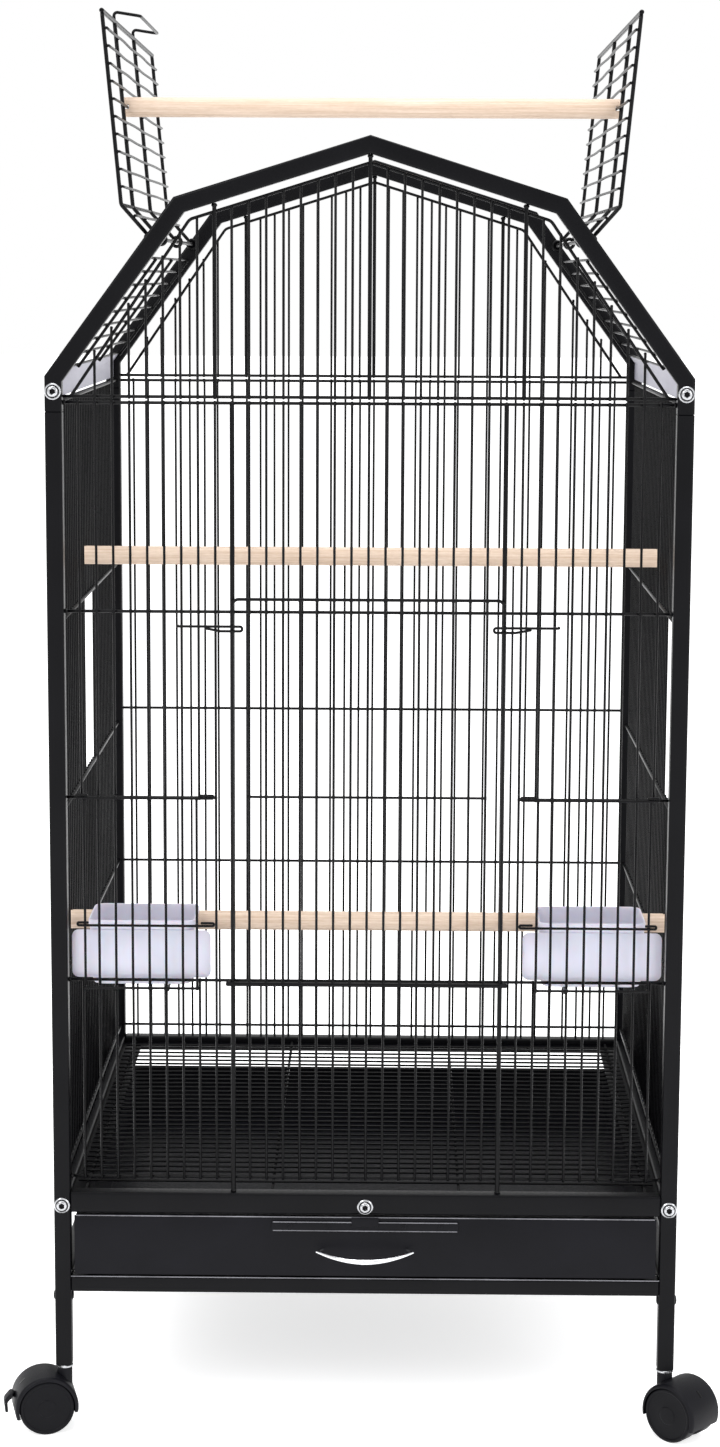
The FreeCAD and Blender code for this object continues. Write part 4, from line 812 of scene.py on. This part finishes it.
# %% [markdown]
# ## Drawer
# The drawer is a tray folded from coated sheet, with a separate front whose edges are turned
# back. A flat stiffening strip and a small catch are fixed to the front above the handle.

# %% Drawer tray and front
low, high = corners("drawer")
face_y = -HALF
front_half = INNER - 3.0
tray_half, tray_rear, tray_top = INNER - 9.0, high[1], low[2] + 40.0
tray_deep = tray_rear - face_y - 1.0
wide = 2 * tray_half
tray_tall = tray_top - low[2]
rows = [(wide + more, tray_deep + longer, corner, height) for more, longer, corner, height in (
    (-2, -2, 1.5, 0), (0, 0, 2.0, 1.0), (0, 0, 2.0, tray_tall - 3), (2.4, 0, 2.5, tray_tall - 1.2),
    (1.6, 0, 2.5, tray_tall), (-1.2, -2.0, 2.0, tray_tall), (-2, -2, 1.5, tray_tall - 1.5),
    (-2, -2, 1.5, 2.2), (-4, -4, 1.5, 1.0))]
shapes = [stack(rows, [0, face_y + 1.0 + tray_deep / 2, low[2]]),
          *[bar([-half, face_y + front, bottom], [half, face_y + back, upper], "x", edge)
            for half, front, back, bottom, upper, edge in (
                (front_half, 0, 1.2, low[2], high[2] - 0.8, 0.5),
                (front_half - 1, 0.3, 9, high[2] - 2.2, high[2] - 0.9, 0.5),
                (front_half - 1, 0.3, 7, low[2], low[2] + 1.2, 0.5),
                (72, -1.6, 0.2, high[2] - 11.3, high[2] - 4.3, 0.7),
                (10.5, -2.8, -1.0, high[2] - 8.0, high[2] - 0.4, 0.9))]]
RIVET = [(0.4, 0), (2.0, 0), (2.0, 0.3), (1.4, 0.9), (0.4, 1.1)]
rivets = [turn(RIVET, [x, face_y - 1.6, high[2] - 7.8], -Y, 16) for x in (-58, -30, 30, 58)]
piece("drawer_shell", shapes + rivets, sheet_coat, "drawer", ["drawer"])

# %% Painted highlights along the edges of the drawer and the rail under it
edges = np.array([[-223, face_y - 0.1, high[2] - 0.9], [-71, face_y - 1.7, high[2] - 4.4],
                  [-71, face_y - 1.7, high[2] - 11.2], [-INNER, face_y - 0.1, low[2] - 1.7]])
for name, line, body, slot in (("painted_edge_highlights", edges[:3], "drawer", "tray_coating"),
                               ("painted_rail_edge_highlight", edges[3], "cage", "frame_coating")):
    # Grey rods laid along these edges are a painted highlight.
    piece(name, [rods(line, line * [-1, 1, 1], 0.45, sides=6)], painted_highlight_coat, body)

# %% [markdown]
# ## Handle
# The pull is a bow of chrome-plated rod that stands off the front and sags a little. It is
# thickest in the middle, and its thin ends turn in to the drawer.

# %% Chrome handle
low, high = corners("drawer_handle")
foot_z = high[2] - 3.1
share = np.linspace(-1, 1, 31)
bow = np.column_stack([36 * share, face_y - 7 - 15 * (1 - share ** 2), foot_z - 2.5 * (1 - share ** 2)])
ends = np.array([[32.5, face_y - 0.5, foot_z + 0.3], [33.8, face_y - 3.4, foot_z + 0.4],
                 [35.4, face_y - 5.6, foot_z + 0.3]])
path = np.vstack([ends * [-1, 1, 1], bow, ends[::-1]])
swell = np.interp(np.linspace(-1, 1, len(path)), [-1, -0.75, 0, 0.75, 1], [0.5, 0.62, 1.0, 0.62, 0.5])
section = swell[:, None, None] * circle(20) * [2.4, 2.1]
piece("handle_bow", [sweep(path, section, unit([0, 2.5, -15]))], chrome, "drawer",
      ["drawer_handle"])

screw_z = np.mean([corners("handle_screws")[end][2] for end in (0, 1)])
NUT = [(0.5, 0), (3.4, 0), (3.4, 0.6), (2.4, 1.6), (1.4, 1.8), (1.3, 1.7, 1), (1.2, 0.9, 1), (0.3, 0.9, 1)]
shapes = [turn(NUT, [side * 32.0, face_y + 2.0, screw_z], Y, 24) for side in (-1, 1)]
piece("handle_nuts", shapes, zinc, "drawer", ["handle_screws"])

# %% [markdown]
# ## Bolts and screws
# Button-head bolts hold the frames together. Each head is turned with a low dome, a hexagon
# socket and a thin washer below it.

# %% Bolts
HEAD_OUTLINE = [(0.6, 0), (6.0, 0), (6.2, 0.3), (6.1, 1.0), (5.5, 1.5), (5.0, 1.4), (4.7, 0.6),
                (4.4, 0.6), (4.3, 1.6), (4.0, 2.5), (3.4, 3.0), (2.8, 3.2), (2.5, 3.2), (2.4, 3.0, 1),
                (2.2, 0.5, 1), (0.4, 0.5, 1)]
GROOVE_SHADE = [(4.3, 0.5), (4.85, 0.5), (4.85, 0.9), (4.3, 0.9), (4.3, 0.5)]
SOCKET_SHADE = [(0.4, 0.4, 1), (2.3, 0.4, 1), (2.3, 1.0, 1), (0.4, 1.0, 1)]
places = [(x, sign * HALF, z, sign) for sign in (-1, 1) for x, z in
          ((-POST, EAVE - 11.2), (POST, EAVE - 11.2), (-POST, 180.8), (POST, 180.8), (0, 181.3))]
shapes = [turn(HEAD_OUTLINE, [x, y, z], sign * Y, 36) for x, y, z, sign in places]
piece("button_bolts", shapes, zinc, "cage", ["frame_bolts"])
# Dark coat rings and hexagons laid on the floor of each groove and socket are painted shade in the recesses.
shapes = [turn(outline, [x, y, z], sign * Y, sides) for x, y, z, sign in places
          for outline, sides in ((GROOVE_SHADE, 36), (SOCKET_SHADE, 24))]
piece("bolt_recess_painted_shade", shapes, tube_coat, "cage")

low, high = corners("leg_screws")
screw_z = (low[2] + high[2]) / 2
outline = [(0.5, 0), (3.8, 0), (3.8, 0.4), (3.4, 0.9), (2.4, 1.35), (1.3, 1.5), (0.5, 1.5)]
shapes = [turn(outline, [side * face, y, screw_z], way * X, 24) for side in (-1, 1)
          for y in (-POST, POST) for face, way in ((HALF, side), (INNER, -side))]
piece("leg_rivets", shapes, tube_coat, "cage", ["leg_screws"])

# %% [markdown]
# ## Casters
# A twin-wheel caster is a moulded hood over two hard wheels on one axle behind the stem.
# Each is made once about its own stem, with the axle behind it along +X, and then turned to
# where it stands. The hood is a thin section carried round an arc about the axle.

# %% Caster shapes about their own stem
WHEEL, TRAIL, HOOD_WIDE, COLLAR = 21.5, 15.8, 18.0, 6.0
AXLE = np.array([TRAIL, 0, WHEEL])
HOOD_TOP = 51.0 - 2.0 - 0.3


def arc_about_axle(radius, start, end, count):
    """Points of a circle about the axle, in the caster's own upright plane."""
    angle = np.radians(np.linspace(start, end, count))
    return AXLE + radius * np.stack([np.cos(angle), 0 * angle, np.sin(angle)], axis=-1)


def hood():
    """Shell, web between the wheels, stem collar, stem and axle of one caster. The collar's
    foot follows the shell: height = axle + sqrt(R * R - (x - trail) * (x - trail))."""
    shoulder = np.radians(np.linspace(0, 90, 6))
    right = np.column_stack([-1.9 + 3.0 * np.sin(shoulder[::-1]),
                             HOOD_WIDE - 3.0 + 3.0 * np.cos(shoulder[::-1])])
    outer = np.vstack([right, [[-1.1, HOOD_WIDE]], [[-1.1, HOOD_WIDE - 1.8]]])
    lower = (outer * [1, -1])[::-1]
    shell = sweep(arc_about_axle(WHEEL + 2.1, -19, 191, 43), np.vstack([outer, lower]), Y)
    rim = arc_about_axle(WHEEL + 1.6, -12, 192, 40)
    web = skin(np.stack([rim[::-1] - Y * 3.5, rim[::-1] + Y * 3.5])[:, ::-1])
    ring = COLLAR * circle(36)
    foot = WHEEL + np.sqrt(np.maximum((WHEEL + 2.1) ** 2 - (ring[:, 0] - TRAIL) ** 2, 0))
    levels = [foot, np.full(36, HOOD_TOP - 1.0), np.full(36, HOOD_TOP)]
    sizes = (1.0, 1.0, 0.9)
    collar = skin(np.stack([np.column_stack([size * ring, level]) for size, level in zip(sizes, levels)]))
    stem = turn([(3.9, 0), (4.0, 0.5), (4.0, 24), (3.4, 25)], [0, 0, HOOD_TOP - 0.2], Z, 24)
    axle = turn([(2.7, 0), (3.0, 0.4), (3.0, 30), (2.7, 30.4)], AXLE - Y * 15.2, Y, 24)
    return [shell, web, collar, stem, axle]


def hood_slot_painted_shade():
    """Painted shade for the slot on the back of the hood: a thin dark strip laid along the hood's arc, with
    no cut in the shell.
    """
    return [sweep(arc_about_axle(WHEEL + 3.1, 38, 52, 6), round_rectangle(0.3, 2.4, 0.1, 2), Y)]


def wheels():
    """Two wheels: outline rows from the inner face, round the tread, to the dished face."""
    rows = [(3.4, 0), (19.5, 0), (20.9, 0.5), (21.5, 1.8), (21.5, 11.2), (21.2, 12.5), (20.4, 13.3),
            (19.4, 13.5), (18.6, 13.2), (18.2, 12.6), (17.0, 12.4), (9.0, 12.9), (7.2, 13.0),
            (6.8, 13.4), (6.0, 13.5), (0.5, 13.5)]
    return [turn(rows, AXLE + Y * side * 4.0, side * Y, 64) for side in (-1, 1)]


def lever():
    """Brake pedal: a plump hooked prong swept along a bent path, its width and its thickness
    following the distance along it."""
    pin_x = TRAIL + WHEEL + 1.2
    route = [(pin_x, 0, WHEEL + 6.5), (pin_x + 3.0, 0, WHEEL + 8.6), (pin_x + 8.0, 0, WHEEL + 3.5),
             (pin_x + 7.2, 0, WHEEL - 6)]
    path = rounded(route, 5.0)
    share = np.linspace(0, 1, len(path))
    wide = np.interp(share, [0, 0.3, 0.85, 1], [3.4, 11.6, 9.0, 6.0])
    thick = np.interp(share, [0, 0.3, 0.7, 1], [3.6, 3.8, 3.4, 2.2])
    profile = np.stack([round_rectangle(*pair, 1.0, 3) for pair in zip(thick, wide)])
    pin = turn([(0.8, 0), (1.0, 0.2), (1.0, 6.2), (0.8, 6.4)], [pin_x, -3.2, WHEEL + 6.5], Y, 16)
    return [sweep(path, profile, Y), pin]


def stood(shapes, x, y, angle):
    """Turn shapes about the stem and move them to their corner."""
    cos, sin = math.cos(math.radians(angle)), math.sin(math.radians(angle))
    spin = np.array([[cos, sin, 0], [-sin, cos, 0], [0, 0, 1]])
    return [(points @ spin + [x, y, 0], faces) for points, faces in shapes]


# %% Stand the casters at their corners
CASTERS = {"front_left": (-POST, -POST, 193.0), "front_right": (POST, -POST, -42.0),
           "rear_right": (POST, POST, 13.0), "rear_left": (-POST, POST, 138.0)}
CASTER_PIECES = (("hood", hood, hood_nylon, "caster", "caster_nylon"),
                 ("slot", hood_slot_painted_shade, wire_coat, "caster", "caster_nylon"),
                 ("wheels", wheels, wheel_nylon, "wheels", "wheel_nylon"),
                 ("pedal", lever, hood_nylon, "brake", "caster_nylon"))
for name, place in CASTERS.items():
    for label, make, material, part, slot in CASTER_PIECES:
        body = f"{name}_{part}"
        if part == "brake" and name not in ("front_left", "rear_right"):
            continue
        # The slot strip is painted shade laid on the hood, so it takes the place of no node.
        replaced = [] if label == "slot" else [body]
        piece(f"{label}_{name}", stood(make(), *place), material, body, replaced)

rings = [turn([(4.3, 0), (6.3, 0), (6.75, 0.4), (6.75, 1.6), (6.3, 2.0), (4.3, 2.0)], [x, y, 49.0], Z, 36)
         for x, y, angle in CASTERS.values()]
piece("stem_rings", rings, zinc, "cage", ["caster_rings"])

# %% [markdown]
# ## Nodes that keep their own shape
# The ledges, runners and plugs are plain folded or moulded pieces whose model shape is right.
# They only need their finish.

# %% Finishes for the pieces that stay
KEPT = {"grate_ledges": tube_coat, "drawer_runners": sheet_coat, "leg_plugs": wheel_nylon}
for name, material in KEPT.items():
    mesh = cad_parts[name].data
    mesh.materials.clear()
    mesh.materials.append(material)
print("kept nodes", sorted(KEPT))

# %% [markdown]
# ## Floor, light and camera
# A wide white floor meets a white room, so no edge shows. Large soft lights from the
# front and above give each black tube a broad dim highlight, and leave no hard shadow.

# %% Studio
# The floor is one wide square with no wall, so every side of the cage can be seen.
floor_half = 30.0
floor_corners = floor_half * np.array([[-1, -1, 0], [1, -1, 0], [1, 1, 0], [-1, 1, 0]])
paper, tree, shader = finish("white_paper", Roughness=0.9, Emission_Strength=0.6)
shader.inputs["Base Color"].default_value = linear("#f7f7f8")
shader.inputs["Emission Color"].default_value = linear("#ffffff")
backdrop = bpy.data.objects.new("studio_sheet", bpy.data.meshes.new("studio_sheet"))
backdrop.data.from_pydata(floor_corners.tolist(), [], [(0, 1, 2, 3)])
backdrop.data.materials.append(paper)
bpy.context.scene.collection.objects.link(backdrop)

world = bpy.data.worlds.new("soft_room")
bpy.context.scene.world = world
world.use_nodes = True
background = world.node_tree.nodes["Background"]
background.inputs["Color"].default_value = linear("#ffffff")
background.inputs["Strength"].default_value = 1.0


def soft_light(name, place, aim, size, power):
    """A square lamp that looks from one place at another."""
    lamp = bpy.data.lights.new(name, "AREA")
    lamp.size, lamp.energy = size, power
    item = bpy.data.objects.new(name, lamp)
    item.location = place
    way = np.subtract(aim, place)
    tilt, heading = math.atan2(math.hypot(way[0], way[1]), -way[2]), math.atan2(way[1], way[0])
    item.rotation_euler = (tilt, 0, heading - math.pi / 2)
    bpy.context.scene.collection.objects.link(item)


soft_light("key", (-1.8, -2.4, 2.6), (0, 0, 0.6), 1.6, 55)
soft_light("fill", (2.2, -2.0, 1.6), (0, 0, 0.5), 1.8, 30)
soft_light("top", (0.0, 0.2, 3.2), (0, 0, 0.9), 2.0, 60)
bpy.context.scene.view_settings.view_transform = "Standard"

# %% Camera
SENSOR, FOCAL_PIXELS, FRAME_TALL = 36.0, 2926.7, 1447
PITCH_DOWN, YAW, ROLL = math.radians(8.887), math.radians(-0.673), math.radians(0.263)
ahead = np.array([math.sin(YAW) * math.cos(PITCH_DOWN), math.cos(YAW) * math.cos(PITCH_DOWN),
                  -math.sin(PITCH_DOWN)])
level = np.array([math.cos(YAW), -math.sin(YAW), 0.0])
above = np.cross(level, ahead)
right = math.cos(ROLL) * level + math.sin(ROLL) * above
above = -math.sin(ROLL) * level + math.cos(ROLL) * above
lens = bpy.data.cameras.new("camera")
lens.sensor_fit, lens.sensor_height, lens.sensor_width = "VERTICAL", SENSOR, SENSOR
lens.lens = FOCAL_PIXELS / FRAME_TALL * SENSOR
lens.shift_x, lens.shift_y = 0.0015, 0.0059
camera = bpy.data.objects.new("camera", lens)
turned = np.eye(4)
turned[:3, 0], turned[:3, 1], turned[:3, 2], turned[:3, 3] = right, above, -ahead, (0.0182, -2.4093, 0.8906)
camera.matrix_world = Matrix(turned)
bpy.context.scene.collection.objects.link(camera)
bpy.context.scene.camera = camera
print("lens", round(lens.lens, 2), "mm")

# %% Print the count of pieces and triangles
triangles = sum(len(face.vertices) - 2 for item in pieces.values() for face in item.data.polygons)
print(len(pieces), "pieces,", triangles, "triangles")
